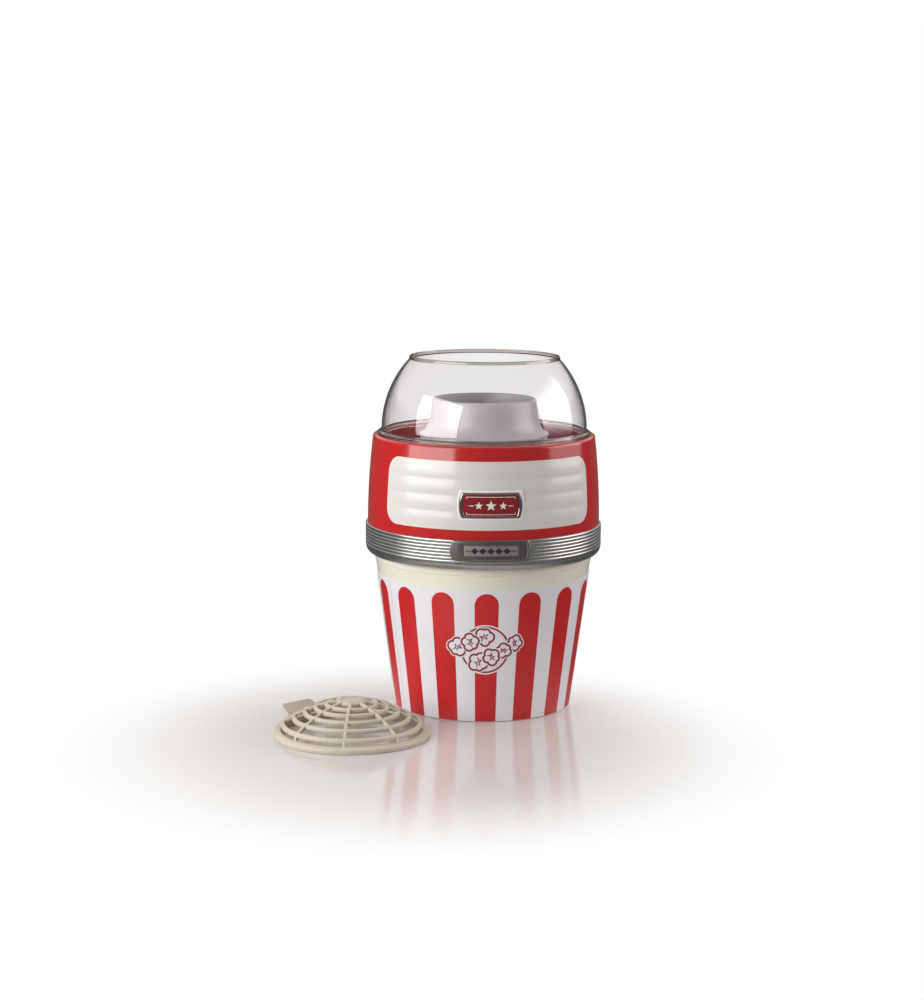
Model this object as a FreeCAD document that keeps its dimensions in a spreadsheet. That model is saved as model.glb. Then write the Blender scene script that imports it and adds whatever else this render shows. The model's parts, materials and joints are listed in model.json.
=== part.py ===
import FreeCAD, Part
import os
import re
import Sketcher

# A hot-air popcorn maker. The frame stands on the table: Z is up, the origin is the middle of the
# bucket's foot, and the front of the machine, with its badge and name plate, faces -Y.
# Lengths are millimetres and angles are degrees.

document = FreeCAD.newDocument("popcorn_maker")
sheet = document.addObject("Spreadsheet::Sheet", "Sizes")

DIMENSIONS = {
    # bucket and its printed sleeve
    "bucket_foot_radius": 89.6, "bucket_taper": 0.133, "bucket_wall": 2.2,
    "bucket_step_height": 151, "bucket_step": 0.7, "bucket_rim_height": 162,
    "bucket_floor": 3.6, "bucket_foot_width": 9, "bucket_pad_radius": 60, "bucket_recess": 1.2,
    "bucket_inner_corner": 8,
    "sleeve_bottom": 0.9, "sleeve_top": 137, "sleeve_thickness": 0.6, "skin_gap": 0.05,
    # chassis: the ring that rests on the bucket, with three spokes and a hub
    "skirt_bottom": 158.3, "skirt_radius": 115.5, "skirt_inner": 111.2,
    "deck_bottom": 162.3, "deck_top": 165, "deck_radius": 119.6,
    "spigot_bottom": 157, "spigot_radius": 107.4, "spigot_inner": 100,
    "hub_radius": 64.5, "hub_inner": 56, "spoke_width": 14, "spoke_count": 3,
    "tunnel_width": 8, "tunnel_bottom": 158.8, "tunnel_top": 162.2,
    "shaft_inner": 103, "shaft_outer": 106.4,
    # ribbed trim ring and name plate
    "ring_radius": 120, "ring_back": 118.2, "ring_bottom": 165.05, "ring_top": 188.2,
    "rib_count": 7, "rib_depth": 1.0,
    "plate_half_width": 38.5, "plate_end_bulge": 2.5, "plate_bottom": 168.2, "plate_top": 187.7,
    "plate_back": 120.05, "plate_face": 121.5, "inset_half_width": 25, "inset_half_height": 4.8,
    "plate_middle": 178, "bracket_width": 1.2, "bracket_setback": 3.2,
    # body shell and front panel
    "shell_radius": 117.8, "shell_lean": 0.00068, "shell_wall": 2.4, "shell_shoulder": 274.6,
    "shell_top": 278.3, "shell_mouth": 103.3, "shoulder_inset": 4.2,
    "window_bottom": 197.3, "window_top": 264.7, "window_half_angle": 57.9, "window_depth": 1.5,
    "window_corner": 9.6, "panel_gap": 0.2, "panel_thickness": 1.4, "panel_ribs": 4,
    "panel_rib_height": 0.7, "panel_margin": 4,
    # badge on the panel
    "badge_half_width": 30.5, "badge_half_height": 12.5, "badge_middle": 222, "badge_bulge": 2.6,
    "badge_back": 116.1, "badge_face": 119.2, "bezel_width": 3.4, "badge_field": 118.4,
    "ornament_rise": 0.35, "star_radius": 3.4,
    # passage liner
    "liner_top_inner": 98.4, "liner_bottom_inner": 99.6, "liner_wall": 1.8, "liner_flange": 107.4,
    "liner_lip": 103.0, "boss_circle": 104.2, "boss_radius": 3.1, "liner_screw_radius": 1.3,
    "liner_screw_count": 6,
    # core housing, its cover and its screws
    "core_radius": 64.5, "core_wall": 2.4, "core_top": 276.8, "ledge_inner": 57.5,
    "ledge_top": 186, "ledge_height": 3, "shelf_height": 2.4,
    "cover_bottom": 146, "cover_floor": 148, "bowl_radius": 52, "cover_flange": 155,
    "intake_slots": 24, "intake_slot_width": 3, "intake_inner": 22, "intake_outer": 46,
    "cover_screw_circle": 60.2, "cover_screw_radius": 1.2,
    # motor
    "motor_radius": 18, "motor_wall": 1, "motor_bottom": 153.6, "motor_top": 184,
    "motor_boss": 5, "cap_bottom": 150.5, "shaft_radius": 1.5, "shaft_bottom": 149.4,
    "shaft_top": 207, "bush_radius": 4, "bush_length": 4, "bush_clearance": 0.03,
    "armature_radius": 11.6, "magnet_inner": 12.4, "magnet_angle": 130, "bracket_thickness": 2,
    # fan
    "fan_radius": 50, "fan_bottom": 191.5, "fan_disc_bottom": 203, "fan_disc_thickness": 1.4,
    "fan_hub": 5.5, "blade_inner": 17, "blade_outer": 48, "blade_thickness": 1.2,
    "blade_count": 11,
    # heater
    "shroud_inner": 55.6, "shroud_wall": 0.8, "card_bottom": 209, "card_top": 226,
    "card_reach": 55.3, "card_thickness": 1, "card_notch": 15, "card_notch_floor": 214,
    "coil_height": 219, "coil_thickness": 2, "coil_hole": 2.15, "coil_inner": 20,
    "coil_step": 12,
    # popping chamber and collar
    "chamber_radius": 44.6, "chamber_wall": 0.8, "chamber_bottom": 230, "chamber_corner": 6,
    "chamber_cone": 4, "chamber_flange": 60, "flange_bottom": 278.5, "louvre_count": 20,
    "gasket_bottom": 276.9, "collar_foot": 65.5, "collar_throat": 46.8, "collar_mouth": 48.9,
    "collar_waist": 54.6, "collar_rim_radius": 52.9, "collar_rim_height": 312.4,
    "collar_top": 314.3, "collar_wall": 1.8, "collar_waist_height": 296,
    # rear switch and cord gland
    "switch_height": 231, "switch_seat": 115.7, "switch_half_width": 10.8,
    "switch_half_height": 13.8, "switch_face": 118, "switch_back": 104.5,
    "rocker_half_width": 7.2, "rocker_half_height": 9.2, "rocker_pivot": 113.4,
    "rocker_tilt": 8, "rocker_face": 4.6, "rocker_hollow": 3.2, "rocker_side": 2,
    "rocker_back": 3.6, "rocker_foot": 3, "rocker_side_gap": 0.4, "rocker_end_gap": 1.5,
    "rocker_well": 5.5, "switch_rim": 2.1, "pivot_pin": 1.2, "pin_clearance": 0.05,
    "pin_reach": 1.1, "pin_socket": 1.3, "terminal_spacing": 2.2, "terminal_half_width": 1.2,
    "terminal_setback": 0.3, "terminal_thickness": 0.8, "terminal_reach": 5.9,
    "terminal_overlap": 2.05,
    "gland_height": 199, "gland_bore": 3.5, "gland_barrel": 6, "gland_flange": 8,
    "gland_seat": 3, "gland_nut": 2.3, "gland_chamfer": 0.8,
    # dome
    "dome_radius": 104, "dome_centre": 283, "dome_wall": 2.2, "dome_flange": 107.5,
    "dome_bottom": 278.7, "dome_rim_bottom": 354, "dome_top": 357.2, "dome_rim_radius": 75.6,
    "dome_mouth": 72.4,
    # grille lid, lying beside the machine
    "lid_x": -134.7, "lid_y": -133.1, "lid_turn": 129, "lid_radius": 76, "lid_rim_width": 8,
    "lid_rim_height": 6.5, "lid_height": 35, "lid_crown": 35.6, "lid_fall": 0.005,
    "lid_disc": 14.5, "lid_overlap": 2.5, "lid_rings": 5, "lid_first_ring": 24.4,
    "lid_ring_step": 10.5, "lid_ring_width": 4, "lid_ring_depth": 3.8, "lid_spokes": 8,
    "lid_spoke_width": 3, "lid_spoke_setback": 1.5, "lid_spoke_drop": 0.5,
    "lid_spoke_depth": 3, "lid_handle_reach": 88, "lid_handle_half_width": 19.5,
    "lid_handle_rise": 10,
}

for row, (alias, size) in enumerate(DIMENSIONS.items(), start=1):
    sheet.set(f"A{row}", alias)
    sheet.set(f"B{row}", str(size))
    sheet.setAlias(f"B{row}", alias)
document.recompute()


def bound(text):
    """The expression with every dimension's name pointing into the sheet."""
    return re.sub(r"[a-z][a-z_]+", lambda word: "Sizes." + word.group()
                  if word.group() in DIMENSIONS else word.group(), str(text))


def value(text):
    """The expression's number now."""
    return float(sheet.evalExpression(bound(text)))


def vector(x, y, z="0"):
    return FreeCAD.Vector(value(x), value(y), value(z))


# ---- sketches and features -------------------------------------------------------------------

def new_body(label):
    body = document.addObject("PartDesign::Body", label)
    body.Label = label
    body.AllowCompound = True
    return body


def origin_feature(body, role):
    return next(item for item in body.Origin.OriginFeatures if item.Role == role)


def sketch_on(body, role, height=None):
    """A sketch on one of the body's origin planes, raised by height along the plane's normal."""
    sketch = body.newObject("Sketcher::SketchObject", body.Label + "_sketch")
    sketch.AttachmentSupport = [(origin_feature(body, role), "")]
    sketch.MapMode = "FlatFace"
    if height is not None:
        sketch.setExpression("AttachmentOffset.Base.z", bound(height))
    return sketch


def held(geometry, position, x, y):
    """The two constraints that hold a point of a sketch at two expressions."""
    return [(Sketcher.Constraint(kind, -1, 1, geometry, position, value(text)), text)
            for kind, text in (("DistanceX", x), ("DistanceY", y))]


def constrain(sketch, pairs):
    """Add constraints in one go and bind the ones that carry an expression."""
    first = sketch.ConstraintCount
    sketch.addConstraint([constraint for constraint, text in pairs])
    for index, (constraint, text) in enumerate(pairs, start=first):
        if text is not None:
            sketch.setExpression(f"Constraints[{index}]", bound(text))


def trace(sketch, corners, arcs=None, closed=True):
    """Draw an outline through corners; arcs maps a corner to the middle of the arc after it."""
    arcs = arcs or {}
    count = len(corners)
    spans = count if closed else count - 1
    places = [vector(x, y) for x, y in corners]
    edges = []
    for index in range(spans):
        start, end = places[index], places[(index + 1) % count]
        if index in arcs:
            middle = vector(*arcs[index])
            if (middle - start).cross(end - middle).z < 0:
                start, end = end, start
            curve = Part.Arc(start, middle, end)
        else:
            curve = Part.LineSegment(start, end)
        edges.append(sketch.addGeometry(curve, False))
    starts = [1 if (sketch.Geometry[edge].StartPoint - corner).Length < 1e-6 else 2
              for edge, corner in zip(edges, places)]
    pairs = []
    for index in range(spans if closed else spans - 1):
        following = (index + 1) % spans
        pairs.append((Sketcher.Constraint("Coincident", edges[index], 3 - starts[index],
                                          edges[following], starts[following]), None))
    for index in range(spans):
        pairs += held(edges[index], starts[index], *corners[index])
    if not closed:
        pairs += held(edges[-1], 3 - starts[-1], *corners[-1])
    for index, (x, y) in arcs.items():
        point = sketch.addGeometry(Part.Point(vector(x, y)), True)
        pairs += held(point, 1, x, y)
        pairs.append((Sketcher.Constraint("PointOnObject", point, 1, edges[index]), None))
    constrain(sketch, pairs)


def rectangle(sketch, x0, x1, y0, y1):
    trace(sketch, [(x0, y0), (x1, y0), (x1, y1), (x0, y1)])


def circle(sketch, x, y, radius):
    shape = Part.Circle(vector(x, y), FreeCAD.Vector(0, 0, 1), value(radius))
    index = sketch.addGeometry(shape, False)
    constrain(sketch, held(index, 3, x, y) + [
        (Sketcher.Constraint("Radius", index, value(radius)), radius)])


def turn(body, sketch, kind="Revolution", angle=None):
    """Revolve a sketch about Z, or cut with it; a part turn is centred on the sketch's plane."""
    feature = body.newObject("PartDesign::" + kind, body.Label + "_" + kind.lower())
    feature.Profile = sketch
    feature.ReferenceAxis = (sketch, ["V_Axis"])
    feature.Angle = 360
    if angle is not None:
        feature.Midplane = True
        feature.setExpression("Angle", bound(angle))
    document.recompute()
    return feature


def extrude(body, sketch, length, kind="Pad", backwards=False, midplane=False):
    feature = body.newObject("PartDesign::" + kind, body.Label + "_" + kind.lower())
    feature.Profile = sketch
    feature.setExpression("Length", bound(length))
    feature.Reversed = backwards
    if midplane:
        feature.SideType = "Symmetric"
    document.recompute()
    return feature


def repeat(body, features, count):
    """Repeat features round Z; count is an expression."""
    pattern = body.newObject("PartDesign::PolarPattern", body.Label + "_pattern")
    pattern.Originals = features
    pattern.Axis = (origin_feature(body, "Z_Axis"), [""])
    pattern.Angle = 360
    pattern.setExpression("Occurrences", bound(count))
    body.Tip = pattern
    document.recompute()
    return pattern


def cut_check(body, cut):
    """Run a cutting step and stop if it took nothing away."""
    before = body.Shape.Volume
    cut()
    if body.Shape.Volume > before - 1e-3:
        raise RuntimeError(f"{body.Label}: a cut removed nothing")


def round_edges(body, chosen, radius):
    """Fillet the edges of the body's tip that the chosen test picks."""
    base = body.Tip
    names = [f"Edge{index}" for index, edge in enumerate(base.Shape.Edges, start=1)
             if chosen(edge)]
    feature = body.newObject("PartDesign::Fillet", body.Label + "_fillet")
    feature.Base = (base, names)
    feature.setExpression("Radius", bound(radius))
    document.recompute()
    return feature


def lathe(label, corners, arcs=None):
    """A piece turned about Z from an outline of radius and height."""
    body = new_body(label)
    sketch = sketch_on(body, "XZ_Plane")
    trace(sketch, corners, arcs)
    turn(body, sketch)
    return body


def tube(label, inner, outer, bottom, top):
    return lathe(label, [(inner, bottom), (outer, bottom), (outer, top), (inner, top)])


def block(body, x0, x1, y0, y1, bottom, top):
    """Add a rectangular block to a body."""
    sketch = sketch_on(body, "XY_Plane", bottom)
    rectangle(sketch, x0, x1, y0, y1)
    return extrude(body, sketch, f"({top}) - ({bottom})")


def post(body, x, y, radius, bottom, top):
    """Add a round upright post to a body."""
    sketch = sketch_on(body, "XY_Plane", bottom)
    circle(sketch, x, y, radius)
    return extrude(body, sketch, f"({top}) - ({bottom})")


def hole(body, x, y, radius, bottom, top):
    """Cut a round upright hole between two heights."""
    sketch = sketch_on(body, "XY_Plane", top)
    circle(sketch, x, y, radius)
    return extrude(body, sketch, f"({top}) - ({bottom})", kind="Pocket")


def place(body, x="0", y="0", z="0", axis=(0, 0, 1), angle="0"):
    body.Placement = FreeCAD.Placement(FreeCAD.Vector(0, 0, 0),
                                       FreeCAD.Rotation(FreeCAD.Vector(*axis), value(angle)))
    for letter, text in (("x", x), ("y", y), ("z", z)):
        body.setExpression("Placement.Base." + letter, bound(text))
    body.setExpression("Placement.Rotation.Angle", bound(angle))


def screws(label, circle_radius, shank_radius, head_radius, head_bottom, head_top, tip,
           count, angle):
    """Equal screws on a circle, their axes along Z, as one group of separate solids."""
    body = new_body(label)
    x = f"{circle_radius} * cos({angle})"
    y = f"{circle_radius} * sin({angle})"
    head = post(body, x, y, head_radius, head_bottom, head_top)
    shank_bottom, shank_top = (head_top, tip) if value(tip) > value(head_top) \
        else (tip, head_bottom)
    shank = post(body, x, y, shank_radius, shank_bottom, shank_top)
    repeat(body, [head, shank], count)
    return body


# ---- bucket ----------------------------------------------------------------------------------

def bucket_outside(height):
    return f"(bucket_foot_radius + bucket_taper * ({height}))"


def make_bucket():
    rim = f"{bucket_outside('bucket_step_height')} + bucket_step"
    inside = f"({bucket_outside('bucket_floor')} - bucket_wall)"
    recess_outside = "bucket_foot_radius - bucket_foot_width"
    corners = [
        (recess_outside, "0"),
        ("bucket_foot_radius", "0"),
        (bucket_outside("bucket_step_height"), "bucket_step_height"),
        (rim, "bucket_step_height + bucket_step"),
        (rim, "bucket_rim_height"),
        (f"{rim} - bucket_wall", "bucket_rim_height"),
        (f"{rim} - bucket_wall", "bucket_step_height + bucket_step"),
        (f"{inside} + bucket_taper * bucket_inner_corner", "bucket_floor + bucket_inner_corner"),
        (f"{inside} - bucket_inner_corner", "bucket_floor"),
        ("0", "bucket_floor"),
        ("0", "0"),
        ("bucket_pad_radius", "0"),
        ("bucket_pad_radius + 1", "bucket_recess"),
        (f"{recess_outside} - 1", "bucket_recess"),
    ]
    corner_middle = (f"{inside} - 0.25 * bucket_inner_corner",
                     "bucket_floor + 0.27 * bucket_inner_corner")
    lathe("bucket", corners, {7: corner_middle})


def make_sleeve():
    low, high = f"{bucket_outside('sleeve_bottom')} + skin_gap", \
        f"{bucket_outside('sleeve_top')} + skin_gap"
    lathe("bucket_sleeve", [
        (low, "sleeve_bottom"), (f"{low} + sleeve_thickness", "sleeve_bottom"),
        (f"{high} + sleeve_thickness", "sleeve_top"), (high, "sleeve_top")])


# ---- chassis and ring ------------------------------------------------------------------------

def make_chassis():
    corners = [
        ("spigot_inner", "spigot_bottom"), ("spigot_radius", "spigot_bottom"),
        ("spigot_radius", "deck_bottom"), ("skirt_inner", "deck_bottom"),
        ("skirt_inner", "skirt_bottom"), ("skirt_radius", "skirt_bottom"),
        ("deck_radius", "deck_top"), ("spigot_inner", "deck_top"),
    ]
    body = lathe("chassis", corners, {5: ("deck_radius - 1.2", "skirt_bottom + 2.6")})
    hub = sketch_on(body, "XZ_Plane")
    rectangle(hub, "hub_inner", "hub_radius", "spigot_bottom", "deck_top")
    turn(body, hub)
    half = "spoke_width / 2"
    spoke = block(body, f"-{half}", half, "hub_radius - 4", "spigot_inner + 2",
                  "spigot_bottom", "deck_top")
    repeat(body, [spoke], "spoke_count")
    block(body, "-7", "7", "44", "hub_inner + 1", "spigot_bottom", "tunnel_bottom")
    half = "tunnel_width / 2"

    def tunnel():
        sketch = sketch_on(body, "XY_Plane", "tunnel_top")
        rectangle(sketch, f"-{half}", half, "40", "shaft_outer")
        extrude(body, sketch, "tunnel_top - tunnel_bottom", kind="Pocket")

    def shaft():
        sketch = sketch_on(body, "XY_Plane", "deck_top")
        rectangle(sketch, f"-{half}", half, "shaft_inner", "shaft_outer")
        extrude(body, sketch, "deck_top - tunnel_bottom", kind="Pocket")

    def cover_screw_holes():
        cut = hole(body, "cover_screw_circle * cos(30)", "cover_screw_circle * sin(30)",
                   "cover_screw_radius", "spigot_bottom", "deck_top - 3")
        repeat(body, [cut], "spoke_count")

    def liner_screw_holes():
        shank = hole(body, "boss_circle", "0", "liner_screw_radius", "spigot_bottom", "deck_top")
        head = hole(body, "boss_circle", "0", "2 * liner_screw_radius", "spigot_bottom",
                    "spigot_bottom + 2.2")
        repeat(body, [shank, head], "liner_screw_count")

    for step in (tunnel, shaft, cover_screw_holes, liner_screw_holes):
        cut_check(body, step)


def make_trim_ring():
    ribs = int(value("rib_count"))
    pitch = "(ring_top - ring_bottom) / rib_count"
    valley = "ring_radius - rib_depth"
    corners = [(valley, f"ring_bottom + {index} * {pitch}") for index in range(ribs + 1)]
    crests = {index: ("ring_radius", f"ring_bottom + ({index} + 0.5) * {pitch}")
              for index in range(ribs)}
    corners += [("ring_back", "ring_top"), ("ring_back", "ring_bottom")]
    lathe("trim_ring", corners, crests)


# ---- curved plates on the front ---------------------------------------------------------------

def barrel(half_width, half_height, middle, bulge, sketch):
    """An outline with level top and bottom and bowed ends."""
    trace(sketch,
          [(f"-({half_width} - {bulge})", f"{middle} - {half_height}"),
           (f"{half_width} - {bulge}", f"{middle} - {half_height}"),
           (f"{half_width} - {bulge}", f"{middle} + {half_height}"),
           (f"-({half_width} - {bulge})", f"{middle} + {half_height}")],
          {1: (f"{half_width}", middle), 3: (f"-({half_width})", middle)})


def curved_plate(label, draw, back, face):
    """A plate cut along Y to the drawn outline, between two cylinders about Z."""
    body = new_body(label)
    sketch = sketch_on(body, "XZ_Plane")
    draw(sketch)
    extrude(body, sketch, f"{face} + 5")
    low, high = "plate_bottom - 20", "window_top + 20"

    def shave(inner, outer):
        ring = sketch_on(body, "XZ_Plane")
        rectangle(ring, inner, outer, low, high)
        turn(body, ring, kind="Groove")

    cut_check(body, lambda: shave("0", back))
    cut_check(body, lambda: shave(face, f"{face} + 20"))
    return body


def star(sketch, x, y, points=5):
    """A small star outline."""
    corners = []
    for index in range(2 * points):
        reach = "star_radius" if index % 2 == 0 else "0.42 * star_radius"
        angle = 90 + 180 * index / points
        corners.append((f"{x} + {reach} * cos({angle})", f"{y} + {reach} * sin({angle})"))
    trace(sketch, corners)


def lozenge(sketch, x, y, half_width, half_height):
    trace(sketch, [(f"{x} - {half_width}", y), (x, f"{y} - {half_height}"),
                   (f"{x} + {half_width}", y), (x, f"{y} + {half_height}")])


def make_name_plate():
    half_height = "(plate_top - plate_bottom) / 2"
    middle = "(plate_top + plate_bottom) / 2"
    inset_gap = "0.1"

    def plate(sketch):
        barrel("plate_half_width", half_height, middle, "plate_end_bulge", sketch)
        rectangle(sketch, f"-(inset_half_width + {inset_gap})", f"inset_half_width + {inset_gap}",
                  f"plate_middle - inset_half_height - {inset_gap}",
                  f"plate_middle + inset_half_height + {inset_gap}")

    def inset(sketch):
        rectangle(sketch, "-inset_half_width", "inset_half_width",
                  "plate_middle - inset_half_height", "plate_middle + inset_half_height")

    def ends(sketch):
        outer = "plate_half_width - bracket_setback"
        straight = f"{outer} - plate_end_bulge"
        reach = f"({half_height} - 1.6)"
        for side in ("", "-"):
            trace(sketch,
                  [(f"{side}({straight})", f"{middle} - {reach}"),
                   (f"{side}({straight})", f"{middle} + {reach}"),
                   (f"{side}({straight} - bracket_width)", f"{middle} + {reach}"),
                   (f"{side}({straight} - bracket_width)", f"{middle} - {reach}")],
                  {0: (f"{side}({outer})", middle), 2: (f"{side}({outer} - bracket_width)", middle)})

    def ornament(sketch):
        for step in range(-2, 3):
            lozenge(sketch, f"{step * 7.5}", "plate_middle", "3", "1.6")

    curved_plate("name_plate", plate, "plate_back", "plate_face")
    curved_plate("name_plate_inset", inset, "plate_back", "plate_face - 0.25")
    curved_plate("name_plate_ends", ends, "plate_face", "plate_face + 0.4")
    curved_plate("name_plate_ornament", ornament, "plate_face - 0.25", "plate_face + 0.1")


def make_badge():
    def badge_outline(sketch):
        barrel("badge_half_width", "badge_half_height", "badge_middle", "badge_bulge", sketch)

    def field_outline(sketch, gap="0"):
        barrel(f"(badge_half_width - bezel_width - {gap})",
               f"(badge_half_height - bezel_width * 0.75 - {gap})",
               "badge_middle", "badge_bulge", sketch)

    def bezel(sketch):
        badge_outline(sketch)
        field_outline(sketch)

    def stars(sketch):
        for step in (-1, 0, 1):
            star(sketch, f"{step * 11}", "badge_middle")

    body = curved_plate("badge_bezel", bezel, "badge_back", "badge_face")
    radius = value("badge_face")

    def outer_rim(edge):
        middle = edge.CenterOfMass
        on_face = all(abs((vertex.X**2 + vertex.Y**2)**0.5 - radius) < 1e-3
                      for vertex in edge.Vertexes)
        return on_face and len(edge.Vertexes) == 2 and middle.y < 0

    round_edges(body, outer_rim, "0.7")
    curved_plate("badge_insert", lambda sketch: field_outline(sketch, "0.05"), "badge_back",
                 "badge_field")
    curved_plate("badge_ornament", stars, "badge_field", "badge_field + ornament_rise")
    return badge_outline


# ---- body shell and panel ---------------------------------------------------------------------

def shell_at(height, inset="0"):
    """Radius of the shell's outside at a height, less an inset."""
    return f"(shell_radius - shell_lean * (({height}) - ring_top)^2 - ({inset}))"


def radial_corner(edge, half_angle, heights):
    """Whether an edge is one of the short edges at a curved tile's four corners."""
    if len(edge.Vertexes) != 2:
        return False
    first, last = (vertex.Point for vertex in edge.Vertexes)
    level = abs(first.z - last.z) < 1.0 and any(abs(first.z - level) < 1.0 for level in heights)
    angle = abs(FreeCAD.Vector(0, -1, 0).getAngle(FreeCAD.Vector(first.x, first.y, 0)))
    at_side = abs(angle * 57.29578 - half_angle) < 0.5
    return level and at_side and (last - first).Length < 8


def make_shell():
    shoulder = shell_at("shell_shoulder")
    middle_height = "(ring_top + shell_shoulder) / 2"
    corners = [
        ("shell_radius", "deck_top + skin_gap"), ("shell_radius", "ring_top"),
        (shoulder, "shell_shoulder"), (f"{shoulder} - shoulder_inset", "shell_top"),
        ("shell_mouth", "shell_top"), ("shell_mouth", "shell_top - shell_wall"),
        (f"{shoulder} - shoulder_inset", "shell_top - shell_wall"),
        (f"{shoulder} - shell_wall", "shell_shoulder - 0.6"),
        ("shell_radius - shell_wall", "ring_top"),
        ("shell_radius - shell_wall", "deck_top + skin_gap"),
    ]
    arcs = {
        1: (shell_at(middle_height), middle_height),
        2: (f"{shoulder} - 1.2", "shell_top - 1.15"),
        7: (shell_at(middle_height, "shell_wall"), middle_height),
    }
    body = lathe("body_shell", corners, arcs)
    middle_height = "(window_bottom + window_top) / 2"

    def window():
        sketch = sketch_on(body, "YZ_Plane")
        trace(sketch,
              [("-" + shell_at("window_bottom", "window_depth"), "window_bottom"),
               ("-(shell_radius + 4)", "window_bottom"), ("-(shell_radius + 4)", "window_top"),
               ("-" + shell_at("window_top", "window_depth"), "window_top")],
              {3: ("-" + shell_at(middle_height, "window_depth"), middle_height)})
        turn(body, sketch, kind="Groove", angle="2 * window_half_angle")

    def switch_seat():
        sketch = sketch_on(body, "XZ_Plane")
        sketch.setExpression("AttachmentOffset.Base.z", bound("-(ring_radius + 2)"))
        rectangle(sketch, "-(switch_half_width + 0.2)", "switch_half_width + 0.2",
                  "switch_height - switch_half_height - 0.2",
                  "switch_height + switch_half_height + 0.2")
        extrude(body, sketch, "ring_radius + 2 - switch_seat", kind="Pocket", backwards=True)

    def switch_opening():
        sketch = sketch_on(body, "XZ_Plane")
        rectangle(sketch, "-(switch_half_width - 2)", "switch_half_width - 2",
                  "switch_height - switch_half_height + 2",
                  "switch_height + switch_half_height - 2")
        extrude(body, sketch, "ring_radius + 2", kind="Pocket")

    def gland_hole():
        sketch = sketch_on(body, "XZ_Plane")
        circle(sketch, "0", "gland_height", "gland_barrel + skin_gap")
        extrude(body, sketch, "ring_radius + 2", kind="Pocket")

    cut_check(body, window)
    heights = (value("window_bottom"), value("window_top"))
    round_edges(body, lambda edge: radial_corner(edge, value("window_half_angle"), heights),
                "window_corner")
    for step in (switch_seat, switch_opening, gland_hole):
        cut_check(body, step)


def make_panel(badge_outline):
    bottom, top = "window_bottom + panel_gap", "window_top - panel_gap"
    inset = "window_depth - panel_thickness"
    ribs = int(value("panel_ribs"))
    low, high = f"({bottom} + panel_margin)", f"({top} - panel_margin)"
    pitch = f"(({high} - {low}) / panel_ribs)"
    middle_height = "(window_bottom + window_top) / 2"
    seams = [f"({low} + {index} * {pitch})" for index in range(ribs + 1)]
    corners = [("-" + shell_at(bottom, inset), bottom)]
    corners += [("-" + shell_at(seam, inset), seam) for seam in seams]
    corners += [("-" + shell_at(top, inset), top),
                ("-" + shell_at(top, f"({inset} + panel_thickness - skin_gap)"), top),
                ("-" + shell_at(bottom, f"({inset} + panel_thickness - skin_gap)"), bottom)]
    arcs = {}
    for index in range(ribs):
        height = f"({low} + ({index} + 0.5) * {pitch})"
        arcs[index + 1] = ("-" + shell_at(height, f"({inset} - panel_rib_height)"), height)
    arcs[ribs + 3] = ("-" + shell_at(middle_height, "(window_depth - skin_gap)"), middle_height)
    body = new_body("front_panel")
    sketch = sketch_on(body, "YZ_Plane")
    trace(sketch, corners, arcs)
    half_angle = "window_half_angle - 0.1"
    turn(body, sketch, angle=f"2 * ({half_angle})")
    heights = (value(bottom), value(top))
    round_edges(body, lambda edge: radial_corner(edge, value(half_angle), heights),
                "window_corner - panel_gap")

    def badge_seat():
        seat = sketch_on(body, "XZ_Plane")
        barrel("(badge_half_width + 0.05)", "(badge_half_height + 0.05)", "badge_middle",
               "badge_bulge", seat)
        extrude(body, seat, "ring_radius + 2", kind="Pocket", backwards=True)

    cut_check(body, badge_seat)


# ---- passage liner ----------------------------------------------------------------------------

def make_liner():
    base_top = "deck_top + 2"
    lip_under = "shell_top - shell_wall"
    corners = [
        ("liner_bottom_inner", "deck_top + skin_gap"), ("liner_flange", "deck_top + skin_gap"),
        ("liner_flange", base_top), ("liner_bottom_inner + liner_wall", base_top),
        ("liner_top_inner + liner_wall", lip_under), ("liner_lip", lip_under),
        ("liner_lip", "shell_top"), ("liner_top_inner + 3", "shell_top"),
        ("liner_top_inner", lip_under),
    ]
    body = lathe("passage_liner", corners,
                 {7: ("liner_top_inner + 0.9", "shell_top - 0.7")})
    boss = post(body, "boss_circle", "0", "boss_radius", "deck_top + skin_gap", "deck_top + 14")
    repeat(body, [boss], "liner_screw_count")

    def screw_bores():
        bore = hole(body, "boss_circle", "0", "liner_screw_radius", "deck_top", "deck_top + 12")
        repeat(body, [bore], "liner_screw_count")

    def cable_notch():
        sketch = sketch_on(body, "XY_Plane", base_top)
        half = "tunnel_width / 2"
        rectangle(sketch, f"-{half}", half, "shaft_inner", "liner_flange + 2")
        extrude(body, sketch, "2", kind="Pocket")

    for step in (screw_bores, cable_notch):
        cut_check(body, step)
    screws("liner_screws", "boss_circle", "liner_screw_radius", "2 * liner_screw_radius - 0.1",
           "spigot_bottom + 0.2", "spigot_bottom + 2.2", "deck_top + 11.5",
           "liner_screw_count", "0")


# ---- core -------------------------------------------------------------------------------------

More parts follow.
